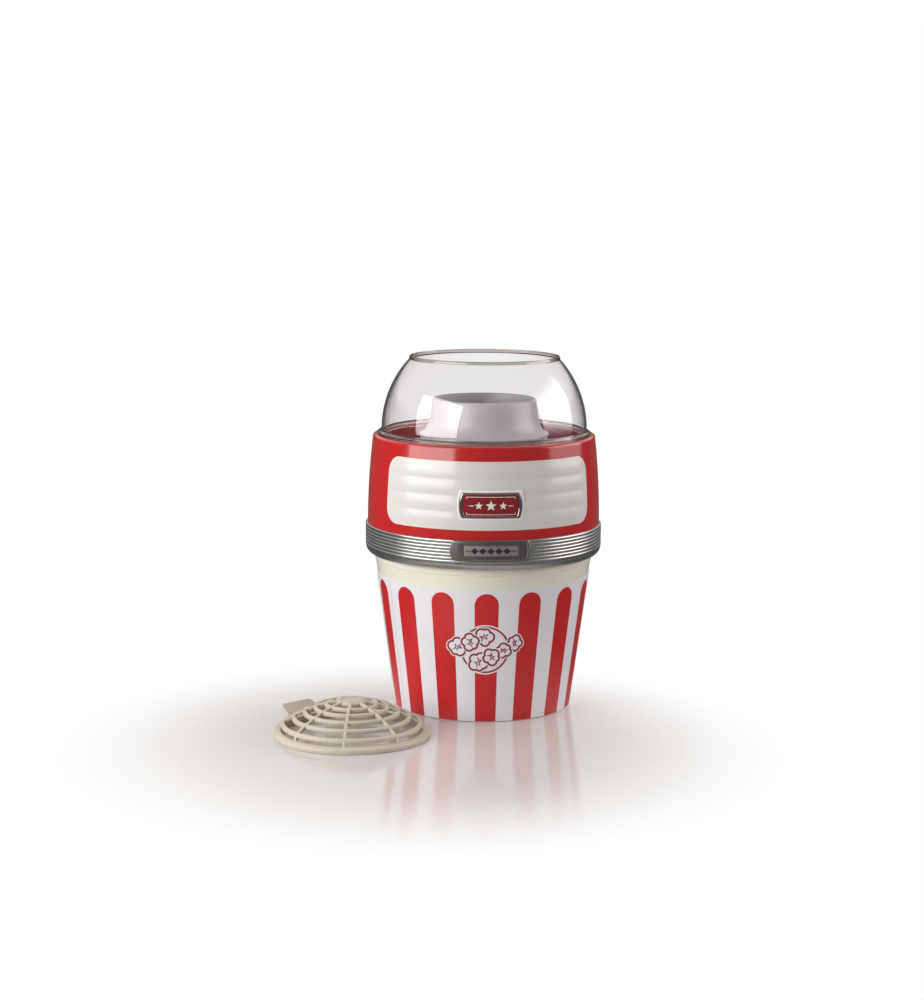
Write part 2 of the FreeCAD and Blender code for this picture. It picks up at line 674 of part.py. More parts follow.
def make_core():
    inner = "core_radius - core_wall"
    ledge_bottom = "ledge_top - ledge_height"
    shelf = "core_top - shelf_height"
    body = lathe("core_housing", [
        ("core_radius", "deck_top + skin_gap"), ("core_radius", "core_top"),
        ("ledge_inner", "core_top"), ("ledge_inner", shelf), (inner, shelf),
        (inner, "ledge_top"), ("ledge_inner", "ledge_top"), ("ledge_inner", ledge_bottom),
        (inner, ledge_bottom), (inner, "deck_top + skin_gap")])

    def bracket_screw_bores():
        bore = hole(body, "ledge_inner + 2.2", "0", "cover_screw_radius", ledge_bottom,
                    "ledge_top")
        repeat(body, [bore], "spoke_count")

    cut_check(body, bracket_screw_bores)

    cover = lathe("core_base_cover", [
        ("core_radius", "spigot_bottom - skin_gap"), ("core_radius", "cover_flange"),
        ("hub_inner", "cover_flange"), ("bowl_radius", "cover_bottom"), ("0", "cover_bottom"),
        ("0", "cover_floor"), ("bowl_radius - 1.4", "cover_floor"),
        ("hub_inner - 2", "spigot_bottom - skin_gap")],
        {2: ("hub_inner - 0.9", "cover_bottom + 3.2")})

    def intake():
        sketch = sketch_on(cover, "XY_Plane", "cover_floor")
        half = "intake_slot_width / 2"
        rectangle(sketch, "intake_inner", "intake_outer", f"-{half}", half)
        slot = extrude(cover, sketch, "cover_floor - cover_bottom", kind="Pocket")
        repeat(cover, [slot], "intake_slots")

    def cover_screw_holes():
        cut = hole(cover, "cover_screw_circle * cos(30)", "cover_screw_circle * sin(30)",
                   "cover_screw_radius", "cover_flange", "spigot_bottom")
        repeat(cover, [cut], "spoke_count")

    for step in (intake, cover_screw_holes):
        cut_check(cover, step)
    for reach in ("28", "48"):
        post(cover, f"{reach} * cos(7.5)", f"{reach} * sin(7.5)", "1.5", "cover_floor - 0.5",
             "cover_floor + 4")
    screws("core_cover_screws", "cover_screw_circle", "cover_screw_radius",
           "2 * cover_screw_radius", "cover_flange - 1.6", "cover_flange", "deck_top - 3.5",
           "spoke_count", "30")


def make_motor():
    can_inner = "motor_radius - motor_wall"
    bracket_bottom = "ledge_top + skin_gap"
    bracket_top = f"({bracket_bottom} + bracket_thickness)"
    bracket = lathe("motor_bracket", [
        ("motor_boss + skin_gap", bracket_bottom), ("core_radius - core_wall - 0.1", bracket_bottom),
        ("core_radius - core_wall - 0.1", bracket_top), ("motor_boss + skin_gap", bracket_top)])

    def inlets():
        sketch = sketch_on(bracket, "XY_Plane", bracket_top)
        trace(sketch, [("20 * cos(24)", "-20 * sin(24)"), ("36 * cos(24)", "-36 * sin(24)"),
                       ("36 * cos(24)", "36 * sin(24)"), ("20 * cos(24)", "20 * sin(24)")],
              {1: ("36", "0"), 3: ("20", "0")})
        slot = extrude(bracket, sketch, "bracket_thickness", kind="Pocket")
        repeat(bracket, [slot], "6")

    def screw_holes():
        rim = hole(bracket, "ledge_inner + 2.2", "0", "cover_screw_radius", bracket_bottom,
                   bracket_top)
        repeat(bracket, [rim], "spoke_count")

    def motor_screw_holes():
        near = hole(bracket, "12", "0", "1", bracket_bottom, bracket_top)
        repeat(bracket, [near], "2")

    for step in (inlets, screw_holes, motor_screw_holes):
        cut_check(bracket, step)
    screws("bracket_screws", "(ledge_inner + 2.2)", "cover_screw_radius",
           "1.8 * cover_screw_radius", bracket_top, f"{bracket_top} + 1.4",
           "ledge_top - ledge_height + 0.2", "spoke_count", "0")
    screws("motor_screws", "12", "1", "1.9", bracket_top, f"{bracket_top} + 1.2",
           "motor_top - 1", "2", "0")

    can = lathe("motor_can", [
        ("bush_radius", "motor_top - 2.5"), ("motor_boss", "motor_top - 2.5"),
        ("motor_boss", "motor_top - motor_wall"), (can_inner, "motor_top - motor_wall"),
        (can_inner, "motor_bottom"), ("motor_radius", "motor_bottom"),
        ("motor_radius", "motor_top"), ("motor_boss", "motor_top"),
        ("motor_boss", "motor_top + 1.8"), ("bush_radius", "motor_top + 1.8")])
    can_screws = hole(can, "12", "0", "1", "motor_top - motor_wall", "motor_top")
    repeat(can, [can_screws], "2")
    lathe("motor_end_cap", [
        ("bush_radius", "cap_bottom"), ("7", "cap_bottom"), ("7", "cap_bottom + 1.2"),
        ("motor_radius", "cap_bottom + 1.2"), ("motor_radius", "motor_bottom - skin_gap"),
        ("6", "motor_bottom - skin_gap"), ("6", "cap_bottom + bush_length"),
        ("bush_radius", "cap_bottom + bush_length")])
    bushes = tube("motor_bushes", "shaft_radius + bush_clearance", "bush_radius", "cap_bottom",
                  "cap_bottom + bush_length")
    upper = sketch_on(bushes, "XZ_Plane")
    rectangle(upper, "shaft_radius + bush_clearance", "bush_radius",
              "motor_top - 2.2", "motor_top - 2.2 + bush_length")
    turn(bushes, upper)
    magnets = new_body("motor_magnets")
    for side in ("", "-"):
        sketch = sketch_on(magnets, "YZ_Plane")
        rectangle(sketch, f"{side}magnet_inner", f"{side}({can_inner} - skin_gap)",
                  "motor_bottom + 4.4", "motor_top - 7")
        turn(magnets, sketch, angle="magnet_angle")

    armature = lathe("motor_armature", [
        ("shaft_radius", "cap_bottom + 5"), ("4.4", "cap_bottom + 5"), ("4.4", "cap_bottom + 9"),
        ("10.4", "cap_bottom + 9"), ("10.4", "cap_bottom + 11"),
        ("armature_radius", "cap_bottom + 11"), ("armature_radius", "motor_top - 8"),
        ("10.4", "motor_top - 8"), ("10.4", "motor_top - 5.4"), ("shaft_radius", "motor_top - 5.4")])

    def winding_slots():
        sketch = sketch_on(armature, "XY_Plane", "motor_top")
        rectangle(sketch, "6", "armature_radius + 1", "-1.3", "1.3")
        slot = extrude(armature, sketch, "motor_top - cap_bottom - 9.5", kind="Pocket")
        repeat(armature, [slot], "5")

    cut_check(armature, winding_slots)
    lathe("motor_shaft", [("0", "shaft_bottom"), ("shaft_radius", "shaft_bottom"),
                          ("shaft_radius", "shaft_top"), ("0", "shaft_top")])


def make_fan():
    disc_top = "fan_disc_bottom + fan_disc_thickness"
    body = lathe("fan_impeller", [
        ("shaft_radius", "fan_bottom"), ("fan_hub", "fan_bottom"), ("fan_hub", "fan_disc_bottom"),
        ("fan_radius", "fan_disc_bottom"), ("fan_radius", disc_top), ("shaft_radius", disc_top)])
    sketch = sketch_on(body, "XY_Plane", "fan_bottom + 0.5")
    sweep = "35"
    half = "blade_thickness / 2"
    tip_x, tip_y = f"blade_outer * cos({sweep})", f"blade_outer * sin({sweep})"
    trace(sketch,
          [("blade_inner", f"-{half}"), (tip_x, f"{tip_y} - {half} * 1.3"),
           (tip_x, f"{tip_y} + {half} * 1.3"), ("blade_inner", half)],
          {0: ("blade_outer * 0.66", f"blade_outer * 0.17 - {half}"),
           2: ("blade_outer * 0.66", f"blade_outer * 0.17 + {half}")})
    blade = extrude(body, sketch, "fan_disc_bottom - fan_bottom - 0.5 + fan_disc_thickness / 2")
    repeat(body, [blade], "blade_count")
    tube("fan_clip", "shaft_radius", "2.2 * shaft_radius", disc_top, f"{disc_top} + 0.8")


def make_heater():
    tube("heater_shroud", "shroud_inner", "shroud_inner + shroud_wall",
         "ledge_top + bracket_thickness + 2 * skin_gap", "core_top")
    body = new_body("heater_frame")
    for role in ("XZ_Plane", "YZ_Plane"):
        sketch = sketch_on(body, role)
        trace(sketch, [
            ("-card_reach", "card_bottom"), ("card_reach", "card_bottom"),
            ("card_reach", "card_top"), ("card_notch", "card_top"),
            ("card_notch", "card_notch_floor"), ("-card_notch", "card_notch_floor"),
            ("-card_notch", "card_top"), ("-card_reach", "card_top")])
        extrude(body, sketch, "card_thickness", midplane=True)

    def coil_holes():
        groove = sketch_on(body, "XZ_Plane")
        for index in range(3):
            circle(groove, f"coil_inner + {index} * coil_step", "coil_height", "coil_hole")
        turn(body, groove, kind="Groove")

    cut_check(body, coil_holes)
    coil = new_body("heater_coil")
    sketch = sketch_on(coil, "XZ_Plane")
    for index in range(3):
        circle(sketch, f"coil_inner + {index} * coil_step", "coil_height", "coil_thickness")
    turn(coil, sketch)
    for start in ("coil_inner", "coil_inner + coil_step"):
        block(coil, "-0.6", "0.6", start, f"{start} + coil_step", "coil_height - 0.6",
              "coil_height + 0.6")
    place(coil, angle="45")
    lathe("thermostat", [
        ("0", "chamber_bottom - 9"), ("8", "chamber_bottom - 9"), ("8", "chamber_bottom - 2.2"),
        ("6", "chamber_bottom - 2.2"), ("6", "chamber_bottom + chamber_cone - 1.7"),
        ("0", "chamber_bottom + chamber_cone - 1.7")])
    fuse = new_body("thermal_fuse")
    sketch = sketch_on(fuse, "YZ_Plane")
    circle(sketch, "0", "card_notch_floor + 2", "1.9")
    extrude(fuse, sketch, "11", midplane=True)


def make_chamber():
    outer = "(chamber_radius + chamber_wall)"
    corner = "chamber_corner"
    flange_top = "(flange_bottom + chamber_wall)"
    low = "chamber_bottom"
    body = lathe("popping_chamber", [
        (outer, "flange_bottom"), ("chamber_flange", "flange_bottom"),
        ("chamber_flange", flange_top), ("chamber_radius", flange_top),
        ("chamber_radius", f"{low} + {corner}"), (f"chamber_radius - {corner}", low),
        ("0", f"{low} + chamber_cone"), ("0", f"{low} + chamber_cone - chamber_wall"),
        (f"chamber_radius - {corner}", f"{low} - chamber_wall"), (outer, f"{low} + {corner}")],
        {4: (f"chamber_radius - 0.293 * {corner}", f"{low} + 0.293 * {corner}"),
         8: (f"{outer} - 0.293 * ({corner} + chamber_wall)",
             f"{low} - chamber_wall + 0.293 * ({corner} + chamber_wall)")})

    def louvres():
        sketch = sketch_on(body, "XZ_Plane")
        bottom, top = f"{low} + {corner} + 2", f"{low} + {corner} + 13"
        trace(sketch, [("-3.6", bottom), ("-1.2", bottom), ("3.6", top), ("1.2", top)])
        slot = extrude(body, sketch, f"{outer} + 1", kind="Pocket", backwards=True)
        repeat(body, [slot], "louvre_count")

    cut_check(body, louvres)
    tube("chamber_gasket", "50", "60", "gasket_bottom", "flange_bottom - skin_gap")


def make_collar():
    foot = "(core_top + 0.1)"
    cavity_bottom = "(flange_bottom + chamber_wall + 0.1)"
    wall = "collar_wall"
    corners = [
        ("collar_foot", foot), ("collar_foot", f"{foot} + 1.7"),
        ("collar_waist", "collar_waist_height"), ("collar_rim_radius", "collar_rim_height"),
        ("collar_mouth", "collar_rim_height"), ("collar_throat", cavity_bottom),
        (f"collar_throat + {wall}", cavity_bottom),
        (f"collar_mouth + {wall} - 0.4", "collar_rim_height - 3"),
        (f"collar_rim_radius - {wall} + 0.3", "collar_rim_height - 3"),
        (f"collar_waist - {wall}", "collar_waist_height - 1"),
        (f"collar_foot - {wall} - 1.7", cavity_bottom), (f"collar_foot - {wall} - 1.7", foot)]
    arcs = {
        1: ("collar_waist + 2.9", "collar_waist_height - 11"),
        3: ("(collar_rim_radius + collar_mouth) / 2", "collar_top"),
        9: (f"collar_waist + 2.9 - {wall} + 0.2", "collar_waist_height - 10.8"),
    }
    lathe("chamber_collar", corners, arcs)


# ---- electrical parts -------------------------------------------------------------------------

def make_electrics():
    board = new_body("rectifier_board")
    bottom = "cover_floor + 4"
    block(board, "25", "48.5", "-8", "15", bottom, f"{bottom} + 1.6")
    diodes = new_body("rectifier_diodes")
    for index in range(4):
        sketch = sketch_on(diodes, "YZ_Plane", "34")
        circle(sketch, f"{-5 + 5.5 * index}", f"{bottom} + 1.6 + 1.45", "1.4")
        extrude(diodes, sketch, "6")

    terminal = new_body("terminal_block")
    block(terminal, "-6", "6", "45", "hub_inner - 0.7", "tunnel_bottom + skin_gap",
          "deck_top + 0.5")

    wires = new_body("mains_wires")
    wire_radius, bend = "0.9", "3"
    wire_y, wire_z = "(shaft_inner + 2.2)", "(tunnel_bottom + 1.7)"
    for side in (-1, 1):
        x = f"{side * 2.2}"
        path = sketch_on(wires, "YZ_Plane", x)
        trace(path,
              [(wire_y, "switch_height - switch_half_height - 6"), (wire_y, f"{wire_z} + {bend}"),
               (f"{wire_y} - {bend}", wire_z), ("hub_inner - 0.6", wire_z)],
              {1: (f"{wire_y} - 0.293 * {bend}", f"{wire_z} + 0.293 * {bend}")}, closed=False)
        section = sketch_on(wires, "XY_Plane", "switch_height - switch_half_height - 6")
        circle(section, x, wire_y, wire_radius)
        sweep = wires.newObject("PartDesign::AdditivePipe", f"mains_wire_pipe{side}")
        sweep.Profile = section
        sweep.Spine = path
        document.recompute()


def make_switch():
    frame = new_body("switch_frame")

    def layer(reach, face, half_width, half_height, kind="Pad"):
        sketch = sketch_on(frame, "XZ_Plane", f"-({face})")
        rectangle(sketch, f"-({half_width})", half_width, f"switch_height - ({half_height})",
                  f"switch_height + ({half_height})")
        return extrude(frame, sketch, f"({face}) - ({reach})", kind=kind,
                       backwards=kind == "Pocket")

    layer("switch_seat + skin_gap", "switch_face", "switch_half_width", "switch_half_height")
    layer("switch_back", "switch_seat + 1", "switch_half_width - switch_rim",
          "switch_half_height - switch_rim")
    cut_check(frame, lambda: layer(
        "rocker_pivot - rocker_well", "switch_face + 1", "rocker_half_width + rocker_side_gap",
        "rocker_half_height + rocker_end_gap", kind="Pocket"))

    def pin_sockets():
        sketch = sketch_on(frame, "YZ_Plane")
        circle(sketch, "rocker_pivot", "switch_height", "pivot_pin + pin_clearance")
        extrude(frame, sketch, "2 * rocker_half_width + 2 * pin_socket", kind="Pocket",
                midplane=True)

    cut_check(frame, pin_sockets)

    rocker = new_body("switch_rocker")
    sketch = sketch_on(rocker, "YZ_Plane")
    end, heel = "rocker_half_height", "(rocker_half_height - rocker_end_gap)"
    trace(sketch,
          [("rocker_face", f"-{end}"), ("rocker_face", end), ("-rocker_side", heel),
           ("-rocker_back", "rocker_foot"), ("-rocker_back", "-rocker_foot"),
           ("-rocker_side", f"-{heel}")],
          {0: ("rocker_hollow", "0")})
    extrude(rocker, sketch, "2 * rocker_half_width", midplane=True)
    pins = sketch_on(rocker, "YZ_Plane")
    circle(pins, "0", "0", "pivot_pin")
    extrude(rocker, pins, "2 * rocker_half_width + 2 * pin_reach", midplane=True)
    place(rocker, "0", "rocker_pivot", "switch_height", axis=(1, 0, 0), angle="-rocker_tilt")

    blades = new_body("switch_terminals")
    bottom, face = "switch_height - switch_half_height", "switch_back + terminal_setback"
    for side in (-1, 1):
        middle = f"{side} * terminal_spacing"
        block(blades, f"{middle} - terminal_half_width", f"{middle} + terminal_half_width",
              face, f"{face} + terminal_thickness", f"{bottom} - terminal_reach",
              f"{bottom} + terminal_overlap")


def make_gland():
    inside, nut_face = "shell_radius - gland_seat", "shell_radius - gland_seat - gland_nut"
    outside, tip = "shell_radius + skin_gap", "ring_radius - panel_gap"
    body = lathe("cord_gland", [
        ("gland_bore", nut_face), ("gland_flange", nut_face), ("gland_flange", inside),
        ("gland_barrel", inside), ("gland_barrel", outside), ("gland_flange", outside),
        ("gland_flange - gland_chamfer", tip), ("gland_bore", tip)])
    place(body, "0", "0", "gland_height", axis=(1, 0, 0), angle="-90")


# ---- dome and lid -----------------------------------------------------------------------------

def make_dome():
    inner = "(dome_radius - dome_wall)"

    def on_sphere(radius, angle):
        return (f"{radius} * cos({angle})", f"dome_centre + {radius} * sin({angle})")

    outer_end = ("sqrt(dome_radius^2 - (dome_rim_bottom - dome_centre)^2)", "dome_rim_bottom")
    inner_end = (f"sqrt({inner}^2 - (dome_rim_bottom - dome_centre)^2)", "dome_rim_bottom")
    lathe("dome", [
        (inner, "dome_bottom"), ("dome_flange", "dome_bottom"),
        ("dome_flange", "dome_bottom + 2.4"), ("dome_radius", "dome_centre"),
        outer_end, ("dome_rim_radius + 0.5", "dome_rim_bottom + 0.5"),
        ("dome_rim_radius", "dome_top"), ("dome_mouth", "dome_top"), inner_end,
        (inner, "dome_centre")],
        {2: ("dome_radius + 1.2", "dome_bottom + 2.75"), 3: on_sphere("dome_radius", "22"),
         8: on_sphere(inner, "22")})


def make_lid():
    """The lid's ribs follow one shallow dome, which stands above the rim and ends in a disc."""
    body = new_body("grille_lid")
    rim_inner = "(lid_radius - lid_rim_width)"
    half = "lid_ring_width / 2"
    start, end = f"({rim_inner} - lid_spoke_setback)", "(lid_disc - lid_overlap)"

    def dome_height(radius):
        """Height of the lid's outer surface at a radius."""
        return f"(lid_crown - lid_fall * ({radius}) * ({radius}))"

    profile = sketch_on(body, "XZ_Plane")
    trace(profile, [
        (rim_inner, "0"), ("lid_radius", "0"), ("lid_radius", "lid_rim_height - 2.5"),
        ("lid_radius - 2", "lid_rim_height - 0.6"), (rim_inner, "lid_rim_height")],
        {2: ("lid_radius - 0.45", "lid_rim_height - 1.15")})
    trace(profile, [
        ("0", "lid_height - lid_ring_depth"), ("lid_disc", "lid_height - lid_ring_depth"),
        ("lid_disc", "lid_height - 1"), ("lid_disc - 1", "lid_height"), ("0", "lid_height")])
    for index in range(int(value("lid_rings"))):
        radius = f"(lid_first_ring + {index} * lid_ring_step)"
        top = dome_height(radius)
        trace(profile, [
            (f"{radius} - {half}", f"{top} - lid_ring_depth"),
            (f"{radius} + {half}", f"{top} - lid_ring_depth - 0.6"),
            (f"{radius} + {half}", f"{top} - 1.1"), (f"{radius} - {half}", f"{top} - 0.5")],
            {2: (f"{radius} + 0.1", f"{top} + 0.15")})
    turn(body, profile)

    rib = sketch_on(body, "XZ_Plane")
    middle = f"(({start} + {end}) / 2)"
    foot = f"{rim_inner} + lid_overlap"
    upper, lower = "lid_spoke_drop", "(lid_spoke_drop + lid_spoke_depth)"
    trace(rib, [
        (foot, "1"), (foot, "lid_rim_height - 1"), (start, f"{dome_height(start)} - {upper}"),
        (end, f"{dome_height(end)} - {upper}"), (end, f"{dome_height(end)} - {lower}"),
        (f"{start} - 1", f"{dome_height(start)} - {lower}"), (f"{rim_inner} + 0.5", "1")],
        {2: (middle, f"{dome_height(middle)} - {upper}"),
         4: (middle, f"{dome_height(middle)} - {lower}")})
    spoke = extrude(body, rib, "lid_spoke_width", midplane=True)
    repeat(body, [spoke], "lid_spokes")

    handle = sketch_on(body, "XZ_Plane")
    reach, rise, root = "lid_handle_reach", "lid_handle_rise", "lid_radius - 6"
    trace(handle, [
        (root, "1"), ("lid_radius", "2"), (f"{reach} - 1", f"{rise} + 3.2"),
        (reach, f"{rise} + 3.8"), (reach, f"{rise} + 6.4"), (f"{reach} - 2.5", f"{rise} + 6.2"),
        ("lid_radius - 3", "lid_rim_height - 0.8"), (root, "lid_rim_height - 0.8")])
    extrude(body, handle, "2 * lid_handle_half_width", midplane=True)
    place(body, "lid_x", "lid_y", "0", angle="lid_turn")


# ---- build, check and write -------------------------------------------------------------------

make_bucket()
make_sleeve()
make_chassis()
make_trim_ring()
make_name_plate()
make_shell()
make_panel(make_badge())
make_liner()
make_core()
make_motor()
make_fan()
make_heater()
make_chamber()
make_collar()
make_electrics()
make_switch()
make_gland()
make_dome()
make_lid()
document.recompute()

for item in document.Objects:
    if {"Invalid", "Error"} & set(item.State):
        raise RuntimeError(f"{item.Label} failed: {item.State}")
pieces = [item for item in document.Objects if item.TypeId == "PartDesign::Body"]
for piece in pieces:
    if piece.Shape.isNull() or not piece.Shape.isValid() or not piece.Shape.Solids:
        raise RuntimeError(f"{piece.Label} has no valid solid")

os.makedirs("parts", exist_ok=True)
for piece in pieces:
    piece.Shape.exportStep(f"parts/{piece.Label}.step")
    box = piece.Shape.BoundBox
    print(f"{piece.Label:22s} solids {len(piece.Shape.Solids):2d}  volume {piece.Shape.Volume:10.1f}"
          f"  z {box.ZMin:7.2f} to {box.ZMax:7.2f}")
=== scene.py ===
import json
import math

import bmesh
import bpy
from mathutils import Matrix, Vector


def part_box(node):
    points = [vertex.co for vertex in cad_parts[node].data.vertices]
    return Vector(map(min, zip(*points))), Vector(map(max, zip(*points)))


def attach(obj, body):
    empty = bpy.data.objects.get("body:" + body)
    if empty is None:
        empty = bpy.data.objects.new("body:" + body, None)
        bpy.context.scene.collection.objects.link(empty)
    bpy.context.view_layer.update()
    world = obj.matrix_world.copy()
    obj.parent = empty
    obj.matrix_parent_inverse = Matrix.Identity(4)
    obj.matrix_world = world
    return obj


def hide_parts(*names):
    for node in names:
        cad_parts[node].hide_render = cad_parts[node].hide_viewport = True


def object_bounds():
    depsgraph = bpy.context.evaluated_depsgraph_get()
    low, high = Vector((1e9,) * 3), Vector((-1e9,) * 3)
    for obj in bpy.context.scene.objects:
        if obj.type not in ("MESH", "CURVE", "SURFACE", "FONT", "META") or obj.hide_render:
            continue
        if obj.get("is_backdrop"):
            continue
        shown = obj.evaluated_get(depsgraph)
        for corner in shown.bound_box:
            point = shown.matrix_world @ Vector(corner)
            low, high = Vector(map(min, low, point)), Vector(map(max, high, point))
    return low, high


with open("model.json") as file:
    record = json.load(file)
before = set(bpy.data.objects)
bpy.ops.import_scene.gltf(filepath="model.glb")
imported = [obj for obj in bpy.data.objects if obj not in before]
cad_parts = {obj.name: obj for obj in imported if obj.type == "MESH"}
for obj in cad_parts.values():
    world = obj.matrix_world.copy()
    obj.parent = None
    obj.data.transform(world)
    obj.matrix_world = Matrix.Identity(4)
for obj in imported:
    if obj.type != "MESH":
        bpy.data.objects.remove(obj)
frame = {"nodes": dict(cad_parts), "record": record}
cad_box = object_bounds()

# Lengths in this script are millimetres in the frame of the CAD model, written out in metres.
# The machine stands on its bucket with its axis on Z, and its front faces -Y.
MM = 0.001
AROUND = 288          # steps round a turned piece


def low(node):
    """Lowest height of a CAD node."""
    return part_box(node)[0].z / MM


def high(node):
    """Highest height of a CAD node."""
    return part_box(node)[1].z / MM


def reach(node):
    """Outer radius of a CAD node that is turned about Z."""
    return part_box(node)[1].x / MM


# ---- materials ---------------------------------------------------------------------------------

def new_material(name):
    """A material, its node tree and its Principled shader."""
    made = bpy.data.materials.new(name)
    made.use_nodes = True
    return made, made.node_tree, made.node_tree.nodes["Principled BSDF"]


def fill(tree, node, inputs):
    """Set a node's inputs; each value is a socket to read or a plain value."""
    for name, value in inputs.items():
        if isinstance(value, bpy.types.NodeSocket):
            tree.links.new(value, node.inputs[name])
        else:
            node.inputs[name].default_value = value


def add_node(tree, kind, inputs, **settings):
    """A new shader node with its settings and its inputs."""
    node = tree.nodes.new("ShaderNode" + kind)
    for name, value in settings.items():
        setattr(node, name, value)
    fill(tree, node, inputs)
    return node


def calculate(tree, operation, *values):
    """The outcome of a sum on sockets or plain numbers."""
    return add_node(tree, "Math", dict(enumerate(values)), operation=operation).outputs[0]


def position(tree, output="Object"):
    """Object coordinates, or another kind."""
    return add_node(tree, "TexCoord", {}).outputs[output]


def axes(tree, vector):
    """The X, Y and Z of a vector."""
    return add_node(tree, "SeparateXYZ", {"Vector": vector}).outputs


def noise(tree, scale, detail=3.0, vector=None):
    """A noise texture on object coordinates; scale is in lumps per metre."""
    return add_node(tree, "TexNoise", {"Scale": scale, "Detail": detail,
                                       "Vector": vector or position(tree)}).outputs["Fac"]


def turned_noise(tree, scale):
    """Fine rings round Z: noise that changes only with radius and height."""
    parts = axes(tree, position(tree))
    squares = [calculate(tree, "MULTIPLY", parts[axis], parts[axis]) for axis in "XY"]
    radius = calculate(tree, "SQRT", calculate(tree, "ADD", *squares))
    place = add_node(tree, "CombineXYZ", {"X": radius, "Y": parts["Z"]})
    return noise(tree, scale, 4.0, place.outputs[0])


def ramp(tree, source, start, end, first, second, ease="SMOOTHSTEP"):
    """Take a value from first to second while the source goes from start to end."""
    return add_node(tree, "MapRange", {"Value": source, "From Min": start, "From Max": end,
                                       "To Min": first, "To Max": second},
                    interpolation_type=ease).outputs["Result"]


def spread(tree, source, lowest, highest):
    """Map a texture's middle range to lowest..highest."""
    return ramp(tree, source, 0.3, 0.7, lowest, highest, ease="LINEAR")


def tint(tree, source, first, second):
    """Mix two colours by a texture."""
    return add_node(tree, "Mix", {"A": (*first, 1), "B": (*second, 1),
                                  "Factor": spread(tree, source, 0, 1)},
                    data_type="RGBA").outputs["Result"]


def bump(tree, source, depth_mm):
    """A surface raised by a texture, depth_mm high at most."""
    return add_node(tree, "Bump", {"Strength": 1.0, "Distance": depth_mm * MM,
                                   "Height": source}).outputs["Normal"]


def shade(colour, factor):
    """A colour made darker or lighter."""
    return tuple(min(1.0, channel * factor) for channel in colour)


def drift(tree, texture, colour, variation):
    """A colour that wanders a little with a texture."""
    return tint(tree, texture, shade(colour, 1 - variation), shade(colour, 1 + variation))


def plastic(name, colour, roughness, grain=900, depth_mm=0.004, variation=0.04, coat=0.0,
            subsurface=0.0):
    """Moulded plastic: faint colour drift, uneven gloss and a fine moulded grain."""
    made, tree, shader = new_material(name)
    fill(tree, shader, {
        "Base Color": drift(tree, noise(tree, 14, 4), colour, variation),
        "Roughness": spread(tree, noise(tree, 60, 6), roughness * 0.94, roughness * 1.08),
        "Normal": bump(tree, noise(tree, grain, 5), depth_mm),
        "Coat Weight": coat, "Coat Roughness": 0.04})
    if subsurface:
        fill(tree, shader, {"Subsurface Weight": subsurface, "Subsurface Scale": 4 * MM,
                            "Subsurface Radius": (0.6, 0.45, 0.3)})
    return made


def metal(name, colour, roughness, turned=True, grain=2500, depth_mm=0.003, variation=0.08,
          metallic=1.0):
    """Metal or metal paint, with fine turned rings or an even grain."""
    made, tree, shader = new_material(name)
    texture = turned_noise(tree, grain) if turned else noise(tree, grain, 4)
    fill(tree, shader, {
        "Base Color": drift(tree, texture, colour, variation),
        "Roughness": spread(tree, noise(tree, 45, 5), roughness * 0.85, roughness * 1.2),
        "Normal": bump(tree, texture, depth_mm),
        "Metallic": metallic})
    return made


def clear_plastic(name, colour, roughness, absorbed, density):
    """Clear plastic: bends light for the eye, passes lamp light, and darkens with its depth."""
    made, tree, shader = new_material(name)
    fill(tree, shader, {"Base Color": (*colour, 1), "Transmission Weight": 1.0, "IOR": 1.5,
                        "Roughness": roughness,
                        "Normal": bump(tree, noise(tree, 25, 2), 0.02)})
    through = add_node(tree, "BsdfTransparent", {"Color": (*shade(colour, 0.97), 1)})
    path = add_node(tree, "LightPath", {})
    either = add_node(tree, "MixShader", {"Fac": path.outputs["Is Shadow Ray"],
                                          1: shader.outputs["BSDF"],
                                          2: through.outputs["BSDF"]})
    depth = add_node(tree, "VolumeAbsorption", {"Color": (*absorbed, 1), "Density": density})
    fill(tree, tree.nodes["Material Output"], {"Surface": either.outputs["Shader"],
                                               "Volume": depth.outputs["Volume"]})
    return made


# each look is named after its slot: (colour, roughness, what differs from the usual)
PLASTICS = {
    "cream_plastic": ((0.80, 0.78, 0.66), 0.22, {"coat": 0.2, "subsurface": 0.1}),
    "red_gloss": ((0.50, 0.016, 0.016), 0.16, {"grain": 350, "variation": 0.05, "coat": 0.2}),
    "cream_panel": ((0.73, 0.705, 0.645), 0.25,
                    {"grain": 350, "variation": 0.03, "coat": 0.2, "subsurface": 0.08}),
    "grey_plastic": ((0.29, 0.265, 0.275), 0.34, {"grain": 1500, "depth_mm": 0.01}),
    "core_plastic": ((0.42, 0.41, 0.42), 0.45, {"grain": 1500, "depth_mm": 0.01}),
    "black_plastic": ((0.022, 0.022, 0.024), 0.38, {"grain": 1500, "depth_mm": 0.012}),
    "beige_plastic": ((0.54, 0.49, 0.40), 0.34,
                      {"grain": 1300, "depth_mm": 0.008, "subsurface": 0.08}),
    "mica": ((0.45, 0.38, 0.26), 0.4, {"grain": 400, "depth_mm": 0.05, "variation": 0.2}),
    "magnet_ferrite": ((0.03, 0.03, 0.032), 0.6, {"depth_mm": 0.02}),
    "felt_gasket": ((0.52, 0.49, 0.42), 0.9,
                    {"grain": 2500, "depth_mm": 0.2, "variation": 0.15}),
    "board_laminate": ((0.03, 0.16, 0.05), 0.35, {}),
    "wire_insulation": ((0.70, 0.66, 0.58), 0.5, {}),
}
